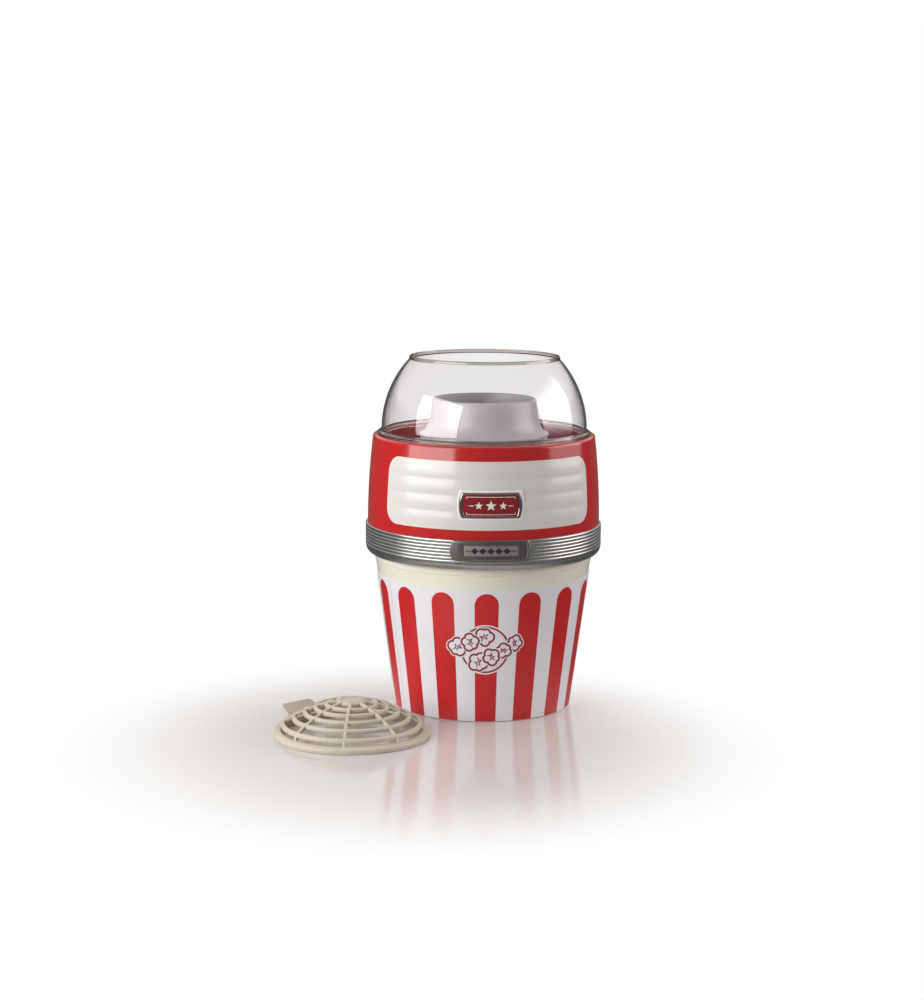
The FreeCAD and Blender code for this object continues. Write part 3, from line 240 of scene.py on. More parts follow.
METALS = {
    "silver_paint": ((0.42, 0.42, 0.41), 0.3,
                     {"turned": False, "depth_mm": 0.0006, "metallic": 0.95,
                      "variation": 0.04}),
    "gunmetal_plate": ((0.22, 0.205, 0.205), 0.34, {"turned": False, "depth_mm": 0.001}),
    "chrome_trim": ((0.86, 0.86, 0.87), 0.07,
                    {"turned": False, "grain": 300, "depth_mm": 0.001, "variation": 0.02}),
    "chamber_aluminium": ((0.62, 0.62, 0.63), 0.3, {"grain": 1800, "depth_mm": 0.01}),
    "zinc_steel": ((0.55, 0.56, 0.58), 0.34, {"turned": False, "grain": 600}),
    "heater_wire": ((0.20, 0.18, 0.17), 0.5, {"turned": False, "grain": 900}),
    "copper_brass": ((0.70, 0.42, 0.20), 0.33, {"turned": False, "grain": 800}),
    "sintered_bronze": ((0.42, 0.30, 0.15), 0.5, {"turned": False, "grain": 3000}),
}
LOOKS = {name: make(name, colour, roughness, **options)
         for make, table in ((plastic, PLASTICS), (metal, METALS))
         for name, (colour, roughness, options) in table.items()}
LOOKS["clear_plastic"] = clear_plastic("clear_plastic", (0.99, 0.985, 0.988), 0.02,
                                       (0.56, 0.44, 0.41), 30)
LOOKS["printed_sleeve"] = plastic("sleeve_white", (0.78, 0.76, 0.80), 0.3, grain=1400,
                                  depth_mm=0.002)
PRINT_RED = plastic("sleeve_red", (0.54, 0.013, 0.013), 0.3, grain=1400, depth_mm=0.002)
MARK_WHITE = plastic("mark_white", (0.80, 0.79, 0.78), 0.35)
PRINT_MAROON = plastic("sleeve_maroon", (0.27, 0.02, 0.03), 0.3, grain=1400, depth_mm=0.002)
# the badge's chrome, darkened and tinted purple-brown: painted dark reflection
CHROME_PAINTED_DARK_REFLECTION = metal("dark_chrome", (0.34, 0.29, 0.31), 0.09, turned=False, grain=300,
                    depth_mm=0.001, variation=0.02)
INSET_SILVER = metal("inset_silver", (0.56, 0.53, 0.53), 0.35, turned=False, grain=3000)
# a darker brown tint and stronger absorption for the dome's foot and lip: painted shade for the
# dark edge lines of the clear rim
RIM_PAINTED_SHADE = clear_plastic("rim_brown", (0.60, 0.52, 0.50), 0.06, (0.4, 0.3, 0.28), 60)
# the badge seat is a real raised lip; its colour, whiter than the panel, is a painted highlight
# round the badge
SEAT_PAINTED_HIGHLIGHT = plastic("seat_white", (0.88, 0.86, 0.82), 0.2, grain=350, coat=0.5)
BADGE_RED = plastic("badge_red", (0.25, 0.010, 0.012), 0.2, grain=350, coat=0.5)
# a darker copy of the shell's red for the passage wall: painted shade inside the passage
LINER_RED_PAINTED_SHADE = plastic("liner_red", (0.30, 0.015, 0.018), 0.25, grain=350, coat=0.4)


# ---- meshes ------------------------------------------------------------------------------------

def polar(radius, angle):
    """A point (x, y) at a radius and an angle."""
    return radius * math.cos(angle), radius * math.sin(angle)


def new_mesh(name, vertices, faces):
    """A mesh from vertices in millimetres."""
    mesh = bpy.data.meshes.new(name)
    mesh.from_pydata([Vector(vertex) * MM for vertex in vertices], [], faces)
    return mesh


def cut_out(mesh, cutters):
    """The mesh with closed cutters, each vertices and faces, taken out of it."""
    objects = [bpy.data.objects.new("kept", mesh)]
    for vertices, faces in cutters:
        objects.append(bpy.data.objects.new("cutter", new_mesh("cutter", vertices, faces)))
        step = objects[0].modifiers.new("cut", "BOOLEAN")
        step.operation, step.solver, step.object = "DIFFERENCE", "EXACT", objects[-1]
    for item in objects:
        bpy.context.scene.collection.objects.link(item)
    result = bpy.data.meshes.new_from_object(
        objects[0].evaluated_get(bpy.context.evaluated_depsgraph_get()))
    for item in objects:
        bpy.data.objects.remove(item)
    return result


def piece(name, vertices, faces, body, slot, stands_for=(), look=None, sharp=38, indices=None,
          cutters=()):
    """A finished mesh piece: vertices in millimetres, smooth but for edges sharper than sharp."""
    mesh = new_mesh(name, vertices, faces)
    looks = look if isinstance(look, (list, tuple)) else [look or LOOKS[slot]]
    for material in looks:
        mesh.materials.append(material)
    if indices:
        for polygon, index in zip(mesh.polygons, indices):
            polygon.material_index = index
    same_place, no_length = 1e-6, 1e-7      # metres
    tidy = bmesh.new()
    tidy.from_mesh(mesh)
    bmesh.ops.remove_doubles(tidy, verts=tidy.verts, dist=same_place)
    bmesh.ops.dissolve_degenerate(tidy, edges=tidy.edges, dist=no_length)
    bmesh.ops.recalc_face_normals(tidy, faces=tidy.faces)
    tidy.to_mesh(mesh)
    tidy.free()
    if cutters:
        mesh = cut_out(mesh, cutters)
        mesh.name = name
    mesh.shade_smooth()
    mesh.set_sharp_from_angle(angle=math.radians(sharp))
    made = bpy.data.objects.new(name, mesh)
    bpy.context.scene.collection.objects.link(made)
    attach(made, body)
    if stands_for:
        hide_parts(*stands_for)
    return made


def fillets(corners, closed=True, steps=5):
    """A path through corners (x, y) or (x, y, radius), each given radius rounded by an arc."""
    path = []
    count = len(corners)
    straight = math.radians(176)      # a corner as flat as this is left alone
    most = 0.49                       # share of a side that one arc may take
    for index, corner in enumerate(corners):
        here = Vector(corner[:2])
        radius = corner[2] if len(corner) > 2 else 0
        if radius == 0 or (not closed and index in (0, count - 1)):
            path.append(tuple(here))
            continue
        before = Vector(corners[index - 1][:2]) - here
        after = Vector(corners[(index + 1) % count][:2]) - here
        angle = before.angle(after)
        if angle > straight:
            path.append(tuple(here))
            continue
        back = min(radius / math.tan(angle / 2), before.length * most, after.length * most)
        real = back * math.tan(angle / 2)
        start, end = here + before.normalized() * back, here + after.normalized() * back
        centre = here + (before.normalized() + after.normalized()).normalized() \
            * (real / math.sin(angle / 2))
        first, last = start - centre, end - centre
        turn = math.atan2(first.cross(last), first.dot(last))
        for step in range(steps + 1):
            part = Matrix.Rotation(turn * step / steps, 2) @ first
            path.append(tuple(centre + part))
    return path


def joined(count, sections, ring=False):
    """Faces between neighbouring sections of count points; ring joins the last to the first."""
    faces = []
    for index in range(sections if ring else sections - 1):
        here, there = index * count, (index + 1) % sections * count
        for part in range(count):
            following = (part + 1) % count
            faces.append([here + part, there + part, there + following, here + following])
    return faces


def disc_faces(count, rings):
    """Faces of rings of count points round the first vertex."""
    faces = [[0, 1 + index, 1 + (index + 1) % count] for index in range(count)]
    return faces + [[1 + corner for corner in face] for face in joined(count, rings)]


def capped(count, sections):
    """Faces of a bar of sections with both ends closed."""
    total = count * sections
    return joined(count, sections) + [list(range(count)),
                                      [total - 1 - part for part in range(count)]]


def lathe_mesh(profile):
    """Vertices and faces of a closed outline of (radius, height) turned about Z."""
    vertices = []
    for turn in range(AROUND):
        vertices += [(*polar(radius, math.tau * turn / AROUND), height)
                     for radius, height in profile]
    return vertices, joined(len(profile), AROUND, ring=True)


def lathe(name, profile, body, slot, **options):
    """A finished piece turned about Z."""
    vertices, faces = lathe_mesh(profile)
    return piece(name, vertices, faces, body, slot, **options)


class Shape:
    """Several bodies of vertices and faces gathered into one mesh."""

    def __init__(self):
        self.vertices, self.faces = [], []

    def add(self, vertices, faces, move=None):
        base = len(self.vertices)
        self.vertices += [move(vertex) for vertex in vertices] if move else vertices
        self.faces += [[base + corner for corner in face] for face in faces]

    def piece(self, name, body, slot, **options):
        return piece(name, self.vertices, self.faces, body, slot, **options)


def outward(loop):
    """Unit normals that point out of a closed loop of 2-D points."""
    area = sum(a[0] * b[1] - b[0] * a[1] for a, b in zip(loop, loop[1:] + loop[:1]))
    side = 1 if area > 0 else -1
    normals = []
    for index in range(len(loop)):
        before, after = Vector(loop[index - 1]), Vector(loop[(index + 1) % len(loop)])
        along = (after - before).normalized()
        normals.append(Vector((along.y, -along.x)) * side)
    return normals


def pad(half_width, half_height_at, columns, rows, surface, lift, edge, depth):
    """A raised plate with rounded edges, laid on a curved surface.

    half_height_at(x) gives half the plate's height at x; surface(x, y, lift) places a point;
    lift(x, y) is the height of its face above the surface; edge is the radius of its rim, and
    depth how far its sides go down.
    """
    inner = half_width - edge
    grid = []
    for column in range(columns + 1):
        # columns crowd towards the ends, where the outline curves
        x = inner * math.sin(math.pi / 2 * (2 * column / columns - 1))
        half = half_height_at(x * half_width / inner) - edge
        grid.append([(x, half * (2 * row / rows - 1)) for row in range(rows + 1)])
    vertices, faces = [], []
    number = {}
    for column, line in enumerate(grid):
        for row, (x, y) in enumerate(line):
            number[column, row] = len(vertices)
            vertices.append(surface(x, y, lift(x, y)))
    for column in range(columns):
        for row in range(rows):
            faces.append([number[column, row], number[column + 1, row],
                          number[column + 1, row + 1], number[column, row + 1]])
    rim = [(column, 0) for column in range(columns + 1)]
    rim += [(columns, row) for row in range(1, rows + 1)]
    rim += [(column, rows) for column in range(columns - 1, -1, -1)]
    rim += [(0, row) for row in range(rows - 1, 0, -1)]
    loop = [grid[column][row] for column, row in rim]
    normals = outward(loop)
    previous = [number[key] for key in rim]
    steps = 5
    rings = [(edge * math.sin(math.pi / 2 * step / steps),
              edge * (1 - math.cos(math.pi / 2 * step / steps))) for step in range(1, steps + 1)]
    rings.append((edge, depth))
    for out, down in rings:
        ring = []
        for (x, y), normal in zip(loop, normals):
            place = Vector((x, y)) + normal * out
            ring.append(len(vertices))
            vertices.append(surface(place.x, place.y, lift(x, y) - down))
        for index in range(len(ring)):
            following = (index + 1) % len(ring)
            faces.append([previous[index], previous[following], ring[following], ring[index]])
        previous = ring
    faces.append(list(reversed(previous)))
    return vertices, faces


def band(outer, inner, section, surface):
    """A closed frame between two matching loops; section lists (share inwards, lift)."""
    vertices = []
    for first, second in zip(outer, inner):
        for share, lift in section:
            x = first[0] + (second[0] - first[0]) * share
            y = first[1] + (second[1] - first[1]) * share
            vertices.append(surface(x, y, lift))
    return vertices, joined(len(section), len(outer), ring=True)


def strip(shape, first, second, surface, top, bottom):
    """A thin raised strip between two lines of matching points, closed at both ends."""
    vertices = []
    for one, other in zip(first, second):
        for point, lift in ((one, bottom), (one, top), (other, top), (other, bottom)):
            vertices.append(surface(*point, lift))
    shape.add(vertices, capped(4, len(first)))


def slab(loop, surface, bottom, top, centre=None):
    """A thin raised shape whose outline is star-shaped about its centre."""
    if centre is None:
        centre = (sum(x for x, y in loop) / len(loop), sum(y for x, y in loop) / len(loop))
    rings = max(2, round(max(math.dist(centre, point) for point in loop) / 2))
    vertices = [surface(*centre, top)]
    for ring in range(1, rings + 1):
        share = ring / rings
        vertices += [surface(centre[0] + (x - centre[0]) * share,
                             centre[1] + (y - centre[1]) * share, top) for x, y in loop]
    vertices += [surface(x, y, bottom) for x, y in loop]
    vertices.append(surface(*centre, bottom))
    count, last = len(loop), 1 + rings * len(loop)
    faces = disc_faces(count, rings + 1)
    faces += [[last + (index + 1) % count, last + index, len(vertices) - 1]
              for index in range(count)]
    return vertices, faces


def barrel_loop(half_width, half_height, bulge, corner=2.0, steps=14):
    """Outline of a plate with level top and bottom, bowed ends and rounded corners."""
    end = half_width - bulge
    radius = (half_height ** 2 + bulge ** 2) / (2 * bulge)
    corners = []
    for side in (1, -1):
        centre = side * (half_width - radius)
        limit = math.asin(half_height / radius)
        for step in range(steps + 1):
            angle = limit * (2 * step / steps - 1) * side
            x = centre + side * radius * math.cos(angle)
            at_corner = step in (0, steps)
            corners.append((x, radius * math.sin(angle), corner if at_corner else 0))
        corners += [(side * end * (1 - 2 * part / 9), side * half_height) for part in range(1, 9)]
    return fillets(corners, steps=4)


def circle_loop(x, y, radius, steps=64):
    """Outline of a circle round (x, y)."""
    return [(x + radius * math.cos(math.tau * step / steps),
             y + radius * math.sin(math.tau * step / steps)) for step in range(steps)]


# ---- bucket and printed sleeve -----------------------------------------------------------------

BUCKET_FOOT = 89.6
BUCKET_TAPER = 0.133
BUCKET_WALL = 2.2
BUCKET_STEP = high("bucket") - 11
SLEEVE_PROUD = 0.65           # from the bucket's wall to the film's face
SLEEVE_BACK = 0.06            # and to its back
EMBLEM_HEIGHT = 75.8
EMBLEM_SIDE = -3.6


def bucket_radius(height):
    """The tub's outside below its step."""
    return BUCKET_FOOT + BUCKET_TAPER * height


def make_bucket():
    """The tub, with its step, its thick rim and its recessed foot."""
    rim_radius, rim = reach("bucket"), high("bucket")
    floor, recess, foot_width, pad_radius = 3.6, 1.2, 9, 60
    inside = bucket_radius(floor) - BUCKET_WALL
    profile = fillets([
        (BUCKET_FOOT - foot_width, 0, 0.4), (BUCKET_FOOT, 0, 1.2),
        (bucket_radius(BUCKET_STEP), BUCKET_STEP, 0.5), (rim_radius, BUCKET_STEP + 0.7, 0.5),
        (rim_radius, rim, 0.7), (rim_radius - BUCKET_WALL, rim, 0.7),
        (rim_radius - BUCKET_WALL, BUCKET_STEP + 0.7, 1.5),
        (inside, floor, 8), (0.01, floor), (0.01, 0), (pad_radius, 0, 0.4),
        (pad_radius + 1, recess, 0.3), (BUCKET_FOOT - foot_width - 1, recess, 0.3)])
    lathe("bucket_tub", profile, "bucket", "cream_plastic", stands_for=["bucket"])


def sleeve_surface(x, height, lift):
    """A point on the sleeve's face; x runs round the front, level with the emblem."""
    angle = x / (bucket_radius(EMBLEM_HEIGHT) + SLEEVE_PROUD) - math.pi / 2
    radius = bucket_radius(height) + SLEEVE_PROUD + lift
    return (*polar(radius, angle), height)


STRIPES = 15
STRIPE_SHARE = 12.9 / 24       # how much of each pitch a stripe takes
STRIPE_TOP = 133.4
STRIPE_START = math.radians(-91.4)


def make_sleeve():
    """The wrapped film, its faces split along the edges of the printed stripes."""
    pitch = math.tau / STRIPES
    half = pitch * STRIPE_SHARE / 2
    cap = half * (bucket_radius(STRIPE_TOP) + SLEEVE_PROUD)     # radius of a stripe's round top
    shoulder = STRIPE_TOP - cap
    seam = math.radians(-154)
    overlap = math.radians(2.2)
    columns = []      # (angle, height of the stripe's edge there)
    steps, gaps = 14, 5
    for stripe in range(STRIPES):
        middle = stripe * pitch + STRIPE_START
        for step in range(steps + 1):
            part = -math.cos(math.pi * step / steps)
            columns.append((middle + half * part, shoulder + cap * math.sqrt(1 - part * part)))
        for step in range(1, gaps):
            columns.append((middle + half + (pitch - 2 * half) * step / gaps, None))
    columns = [((angle - seam) % math.tau + seam, edge) for angle, edge in columns]
    columns.sort(key=lambda column: column[0])
    start = columns[0][0]
    columns += [(angle + math.tau, edge) for angle, edge in columns
                if angle - start < overlap]
    end = columns[-1][0]
    rows = [low("bucket_sleeve") + (shoulder - low("bucket_sleeve")) * row / 8
            for row in range(9)]
    faces, indices, vertices = [], [], []
    for lift in (SLEEVE_PROUD, SLEEVE_BACK):
        for angle, edge in columns:
            rise = 0.3 * max(0, 1 - (end - angle) / (1.4 * overlap))
            top = edge if edge is not None else shoulder + cap * 0.5
            for height in rows + [top, high("bucket_sleeve")]:
                vertices.append((*polar(bucket_radius(height) + lift + rise, angle), height))
    stride = len(rows) + 2
    skin_size = len(columns) * stride
    for skin in (0, 1):
        for column in range(len(columns) - 1):
            printed = columns[column][1] is not None and columns[column + 1][1] is not None
            for row in range(stride - 1):
                base = skin * skin_size + column * stride + row
                corners = [base, base + stride, base + stride + 1, base + 1]
                faces.append(corners if skin == 0 else corners[::-1])
                indices.append(1 if skin == 0 and printed and row < stride - 2 else 0)
    rim = [column * stride for column in range(len(columns))]
    for offset in (0, stride - 1):
        for first, second in zip(rim, rim[1:]):
            faces.append([first + offset, second + offset, second + offset + skin_size,
                          first + offset + skin_size])
            indices.append(0)
    for first in (rim[0], rim[-1]):
        for row in range(stride - 1):
            faces.append([first + row, first + row + 1, first + row + 1 + skin_size,
                          first + row + skin_size])
            indices.append(0)
    piece("sleeve_film", vertices, faces, "bucket", "printed_sleeve", indices=indices,
          stands_for=["bucket_sleeve"], look=[LOOKS["printed_sleeve"], PRINT_RED])


# popped kernels on the emblem: (x, y, size, quarter turns)
KERNELS = [(-26.9, 2.2, 8.6, 0.2), (-1.2, 13.4, 8.4, 2.3), (-14.3, 7.8, 7.8, 1.1),
           (29.2, 6.4, 7.0, 3.1), (-6.4, -12.8, 8.8, 0.7), (18.4, -0.6, 6.8, 2.0),
           (6.6, -7.0, 7.6, 1.4)]
# lobes of one kernel, in shares of its size: (x, y, radius)
LOBES = [(-0.52, 0.28, 0.58), (0.14, 0.58, 0.52), (0.60, 0.02, 0.55), (0.08, -0.46, 0.60),
         (-0.48, -0.34, 0.42)]


def make_emblem():
    """A printed roundel with popped kernels tumbling across it."""
    layers = {"white": Shape(), "red": Shape()}
    step = 0.03

    def surface(x, y, lift):
        return sleeve_surface(x + EMBLEM_SIDE, EMBLEM_HEIGHT + y, lift)

    def print_shape(colour, loop, layer):
        layers[colour].add(*slab(loop, surface, 0.01, layer * step))

    def print_ring(colour, x, y, outer, inner, layer, start=0.0, end=1.0):
        count = 64
        angles = [math.tau * (start + (end - start) * part / count) for part in range(count + 1)]
        outside, inside = ([(x + across, y + up) for across, up in
                            (polar(radius, angle) for angle in angles)]
                           for radius in (outer, inner))
        if end - start == 1.0:
            section = [(0, 0.01), (0, layer * step), (1, layer * step), (1, 0.01)]
            layers[colour].add(*band(outside[:-1], inside[:-1], section, surface))
        else:
            strip(layers[colour], outside, inside, surface, layer * step, 0.01)

    print_shape("white", circle_loop(0, 0, 25.6, 96), 1)
    print_ring("red", 0, 0, 24.3, 22.4, 2)
    layer = 3
    for x, y, size, turn in KERNELS:
        spin = Matrix.Rotation(turn * math.pi / 2, 2)
        lobes = []
        for across, up, radius in LOBES:
            centre = spin @ Vector((across, up)) * size
            lobes.append((x + centre.x, y + centre.y, radius * size))
        for growth, colour in ((2.1, "white"), (1.1, "red"), (-0.9, "white")):
            for cx, cy, radius in lobes:
                print_shape(colour, circle_loop(cx, cy, radius + growth, 48), layer)
            layer += 1
        for number in (0, 2, 3):
            cx, cy, radius = lobes[number]
            inwards = math.atan2(y - cy, x - cx) / math.tau
            print_ring("red", cx, cy, radius * 0.72, radius * 0.72 - 1.3, layer, inwards - 0.2,
                       inwards + 0.16)
        layer += 1
    layers["white"].piece("emblem_white", "bucket", "printed_sleeve")
    layers["red"].piece("emblem_red", "bucket", "printed_sleeve", look=PRINT_MAROON)


# ---- head: shell, ring and panel ---------------------------------------------------------------

RING_TOP = high("trim_ring")
SHELL_RADIUS = reach("body_shell")
SHELL_LEAN = 0.00068
SHELL_TOP = high("body_shell")
SHOULDER_START = 274.6
MOUTH_RADIUS = 103.3


def shell_radius(height):
    """The shell's outside: upright in the ring, leaning in above it."""
    return SHELL_RADIUS - SHELL_LEAN * max(0, height - RING_TOP) ** 2


def block(left, right, front, back, bottom, top):
    """Vertices and faces of a box."""
    vertices = [(x, y, z) for z in (bottom, top)
                for x, y in ((left, front), (left, back), (right, back), (right, front))]
    return vertices, capped(4, 2)


def bore_along_y(radius, height, front, back, around=64):
    """Vertices and faces of a round bar that lies along Y at x = 0."""
    vertices = [(x, y, z) for y in (front, back)
                for x, z in circle_loop(0, height, radius, around)]
    return vertices, capped(around, 2)


def make_shell():
    """The red shell, open above and below, with a seat for the switch."""
    base = low("body_shell")
    wall = 2.4
    start = shell_radius(SHOULDER_START)
    outer = [(SHELL_RADIUS, base)]
    steps = 30
    outer += [(shell_radius(height), height) for height in
              (RING_TOP + (SHOULDER_START - 1.6 - RING_TOP) * step / steps
               for step in range(steps + 1))]
    outer += [(start - 0.25, SHELL_TOP, 4.4), (MOUTH_RADIUS, SHELL_TOP)]
    inner = [(MOUTH_RADIUS, SHELL_TOP - wall), (start - 4, SHELL_TOP - wall, 2),
             (start - wall, SHOULDER_START - 6), (SHELL_RADIUS - wall, RING_TOP),
             (SHELL_RADIUS - wall, base)]
    # the back's openings: the switch's seat and the hole in it, and the cord gland's hole
    across, bottom, top = reach("switch_frame") + 0.2, low("switch_frame"), high("switch_frame")
    seat, frame_lip, gland_hole, inside, outside = 115.7, 2, 6.2, 100, 130
    cutters = [block(-across, across, seat, outside, bottom - 0.2, top + 0.2),
               block(frame_lip - across, across - frame_lip, inside, outside,
                     bottom + frame_lip, top - frame_lip),
               bore_along_y(gland_hole, (low("cord_gland") + high("cord_gland")) / 2, inside,
                            outside)]
    lathe("shell_skin", fillets(outer + inner, steps=9), "head", "red_gloss",
          stands_for=["body_shell"], cutters=cutters)


def make_ring():
    """The trim ring and its rounded ribs."""
    ring_low, ring_high = low("trim_ring") + 0.02, high("trim_ring")
    crest, ribs, depth, back = 120.0, 7, 1.0, 118.2
    pitch = (ring_high - ring_low) / ribs
    profile = [(back, ring_high), (back, ring_low)]
    steps = 12
    for rib in range(ribs):
        for step in range(steps if rib < ribs - 1 else steps + 1):
            part = step / steps
            swell = math.sqrt(max(0, 1 - (2 * part - 1) ** 2)) ** 0.8
            profile.append((crest - depth + depth * swell, ring_low + pitch * (rib + part)))
    lathe("ring_ribs", profile, "head", "silver_paint", stands_for=["trim_ring"], sharp=60)


PANEL_REFERENCE = 116.0


def head_surface(middle, radius=None):
    """Places a flat point (x, y) on the head's front, y measured from the height middle.

    A fixed radius gives a plain cylinder instead of the shell's own surface.
    """
    def place(x, y, lift):
        at = shell_radius(y + middle) if radius is None else radius
        return (*polar(at + lift, x / PANEL_REFERENCE - math.pi / 2), y + middle)
    return place


def make_panel():
    """The cream panel, with broad ribs that fade out at its ends."""
    bottom, top = 197.5, 264.5
    middle, half_height = (bottom + top) / 2, (top - bottom) / 2
    half_width = math.radians(57.8) * PANEL_REFERENCE
    corner, ribs, rib_height, margin, proud = 15.0, 4, 0.4, 2.2, 0.3

    def half_at(x):
        over = max(0, abs(x) - (half_width - corner))
        return half_height - corner + math.sqrt(max(0, corner ** 2 - over ** 2))

    def lift(x, y):
        span = 2 * (half_height - margin)
        part = (y + half_height - margin) / span * ribs
        if not 0 <= part <= ribs:
            return proud
        fade = min(1, max(0, (half_width - 5 - abs(x)) / 6))
        return proud + rib_height * fade * math.sin(math.pi * (part % 1)) ** 1.15

    vertices, faces = pad(half_width, half_at, 96, 96, head_surface(middle), lift, 0.7, 1.6)
    piece("panel_face", vertices, faces, "head", "cream_panel", stands_for=["front_panel"],
          sharp=50)


def make_badge():
    """The badge: a chrome surround darkened as painted dark reflection, set in a raised pale seat
    whose extra whiteness is a painted highlight, and a red field with stars.
    """
    middle = 222
    surface = head_surface(middle, shell_radius(middle) + 0.5)
    outer = barrel_loop(30.5, 12.5, 2.6, corner=4.6)
    inner = barrel_loop(26.9, 10.6, 1.8, corner=3.6)
    section = [(0, -1.2), (0, 0.5), (0.08, 0.95), (0.25, 1.3), (0.48, 1.42), (0.7, 1.3),
               (0.88, 0.95), (0.97, 0.55), (1, 0.1), (1, -1.2)]
    piece("badge_surround", *band(outer, inner, section, surface), "head", "chrome_trim",
          stands_for=["badge_bezel"], sharp=50, look=CHROME_PAINTED_DARK_REFLECTION)

    outer = barrel_loop(32.6, 14.6, 2.7, corner=5.8)
    inner = barrel_loop(30.4, 12.4, 2.6, corner=4.5)
    section = [(0, -0.9), (0, 0.1), (0.1, 0.5), (0.3, 0.85), (0.6, 0.95), (0.9, 0.75), (1, 0.3),
               (1, -0.9)]
    piece("badge_seat", *band(outer, inner, section, surface), "head", "cream_panel", sharp=50,
          look=SEAT_PAINTED_HIGHLIGHT)

    field_width, field_height, corner = 26.8, 10.6, 3.4

    def field_half(x):
        over = max(0, abs(x) - (field_width - corner))
        return field_height - corner + math.sqrt(max(0, corner ** 2 - over ** 2 * 0.8))

    vertices, faces = pad(field_width, field_half, 40, 12, surface,
                          lambda x, y: 0.55 + 0.35 * (1 - (y / field_height) ** 2), 0.3, 1.2)
    piece("badge_field", vertices, faces, "head", "red_gloss", stands_for=["badge_insert"],
          look=BADGE_RED)

    outer = barrel_loop(24.6, 8.8, 1.3, corner=1.8)
    inner = barrel_loop(24.1, 8.3, 1.3, corner=1.5)
    section = [(0, 0.3), (0, 0.74), (1, 0.78), (1, 0.3)]
    piece("badge_line", *band(outer, inner, section, surface), "head", "cream_panel",
          look=MARK_WHITE)

    marks = Shape()
    for x, size in ((-11.6, 4.0), (0, 5.4), (11.6, 4.0)):
        star = []
        for point in range(10):
            across, up = polar(size * (0.42 if point % 2 else 1),
                               math.pi * (0.5 + point / 5))
            star.append((x + across, up))
        marks.add(*slab(star, surface, 0.4, 1.25, centre=(x, 0)))
    for side in (-1, 1):
        bar = [(side * 16.8, -0.55), (side * 21.8, -0.15), (side * 21.8, 0.15),
               (side * 16.8, 0.55)]
        marks.add(*slab(bar, surface, 0.4, 1.1))
    marks.piece("badge_stars", "head", "chrome_trim", stands_for=["badge_ornament"],
                look=MARK_WHITE)


def make_name_plate():
    """The ring's name plate: a frame, an inset with lozenges and two bright bars at each end."""
    middle = (low("name_plate") + high("name_plate")) / 2
    half_height = (high("name_plate") - low("name_plate")) / 2
    half_width = reach("name_plate")
    surface = head_surface(middle, 120.05)
    outer = barrel_loop(half_width, half_height, 2.5, corner=1.4)
    inner = barrel_loop(25.3, 5.1, 0.1, corner=0.5)
    section = [(0, -0.6), (0, 0.95), (0.035, 1.25), (0.08, 1.4), (0.9, 1.4), (0.97, 1.25),
               (1, 0.9), (1, -0.6)]
    piece("plate_frame", *band(outer, inner, section, surface), "head", "gunmetal_plate",
          stands_for=["name_plate"], sharp=50)

    vertices, faces = pad(25.2, lambda x: 5.0, 40, 8, surface, lambda x, y: 1.0, 0.2, 1.2)
    piece("plate_inset", vertices, faces, "head", "silver_paint",
          stands_for=["name_plate_inset"], look=INSET_SILVER)

    ends = Shape()
    for side in (-1, 1):
        for setback, width in ((1.1, 0.5), (2.9, 0.8)):
            reach_out = half_width - setback
            radius = 26.0
            limit = math.asin((half_height - 1.2) / radius)
            lines = []
            for out in (reach_out, reach_out - width):
                lines.append([(side * (out - radius + radius * math.cos(angle)),
                               radius * math.sin(angle))
                              for angle in (limit * (2 * step / 12 - 1) for step in range(13))])
            strip(ends, *lines, surface, 1.75, 1.2)
    ends.piece("plate_brackets", "head", "chrome_trim", stands_for=["name_plate_ends"])

    marks = Shape()
    for step in range(-2, 3):
        x = step * 7.5
        loop = [(x - 3.6, 0), (x, -3.1), (x + 3.6, 0), (x, 3.1)]
        marks.add(*slab(loop, surface, 0.9, 1.3))
    for side in (-1, 1):
        bar = [(side * 19, -0.4), (side * 23.4, -0.4), (side * 23.4, 0.4), (side * 19, 0.4)]
        marks.add(*slab(bar, surface, 0.9, 1.25))
    marks.piece("plate_lozenges", "head", "gunmetal_plate", stands_for=["name_plate_ornament"],
                look=LOOKS["black_plastic"])


def make_liner():
    """The wall of the passage round the chamber, in a darker red than the shell as painted shade.
    """
    top, bottom = high("passage_liner"), low("passage_liner")
    lip, top_inner, bottom_inner, wall, flange = 103.0, 98.4, 99.6, 1.8, 107.4
    profile = fillets([
        (bottom_inner, bottom, 0.4), (flange, bottom, 0.4), (flange, bottom + 2, 0.4),
        (bottom_inner + wall, bottom + 2, 1), (top_inner + wall, top - 2.4, 0.5),
        (lip, top - 2.4, 0.3), (lip, top, 0.3), (top_inner, top, 3.2)])
    lathe("liner_wall", profile, "head", "red_gloss", stands_for=["passage_liner"],
          look=LINER_RED_PAINTED_SHADE)


def make_collar():
    """The grey collar of the popping chamber."""
    foot, top = low("chamber_collar"), high("chamber_collar")
    waist_height = 296
    flare = [(62.2, foot + 3.2), (59.4, foot + 6.2), (57.3, foot + 10.2), (55.8, foot + 14.4)]
    profile = fillets(
        [(65.5, foot, 0.3), (65.5, foot + 1.8, 0.6), (63.6, foot + 2.2, 0.5)] + flare
        + [(54.7, waist_height), (52.9, top - 1.4, 1.9), (51.4, top, 1.6), (50.2, top, 1.2),
           (48.9, top - 1.6, 1.4), (46.8, foot + 2.6, 0.3), (48.6, foot + 2.6, 0.3),
           (50.3, top - 5, 0.4), (51.2, top - 5, 0.4), (52.8, waist_height),
           (57.8, foot + 7.6), (61.6, foot + 3, 1), (61.6, foot, 0.3)], steps=6)
    lathe("collar_skin", profile, "head", "grey_plastic", stands_for=["chamber_collar"],
          sharp=30)


# ---- dome --------------------------------------------------------------------------------------

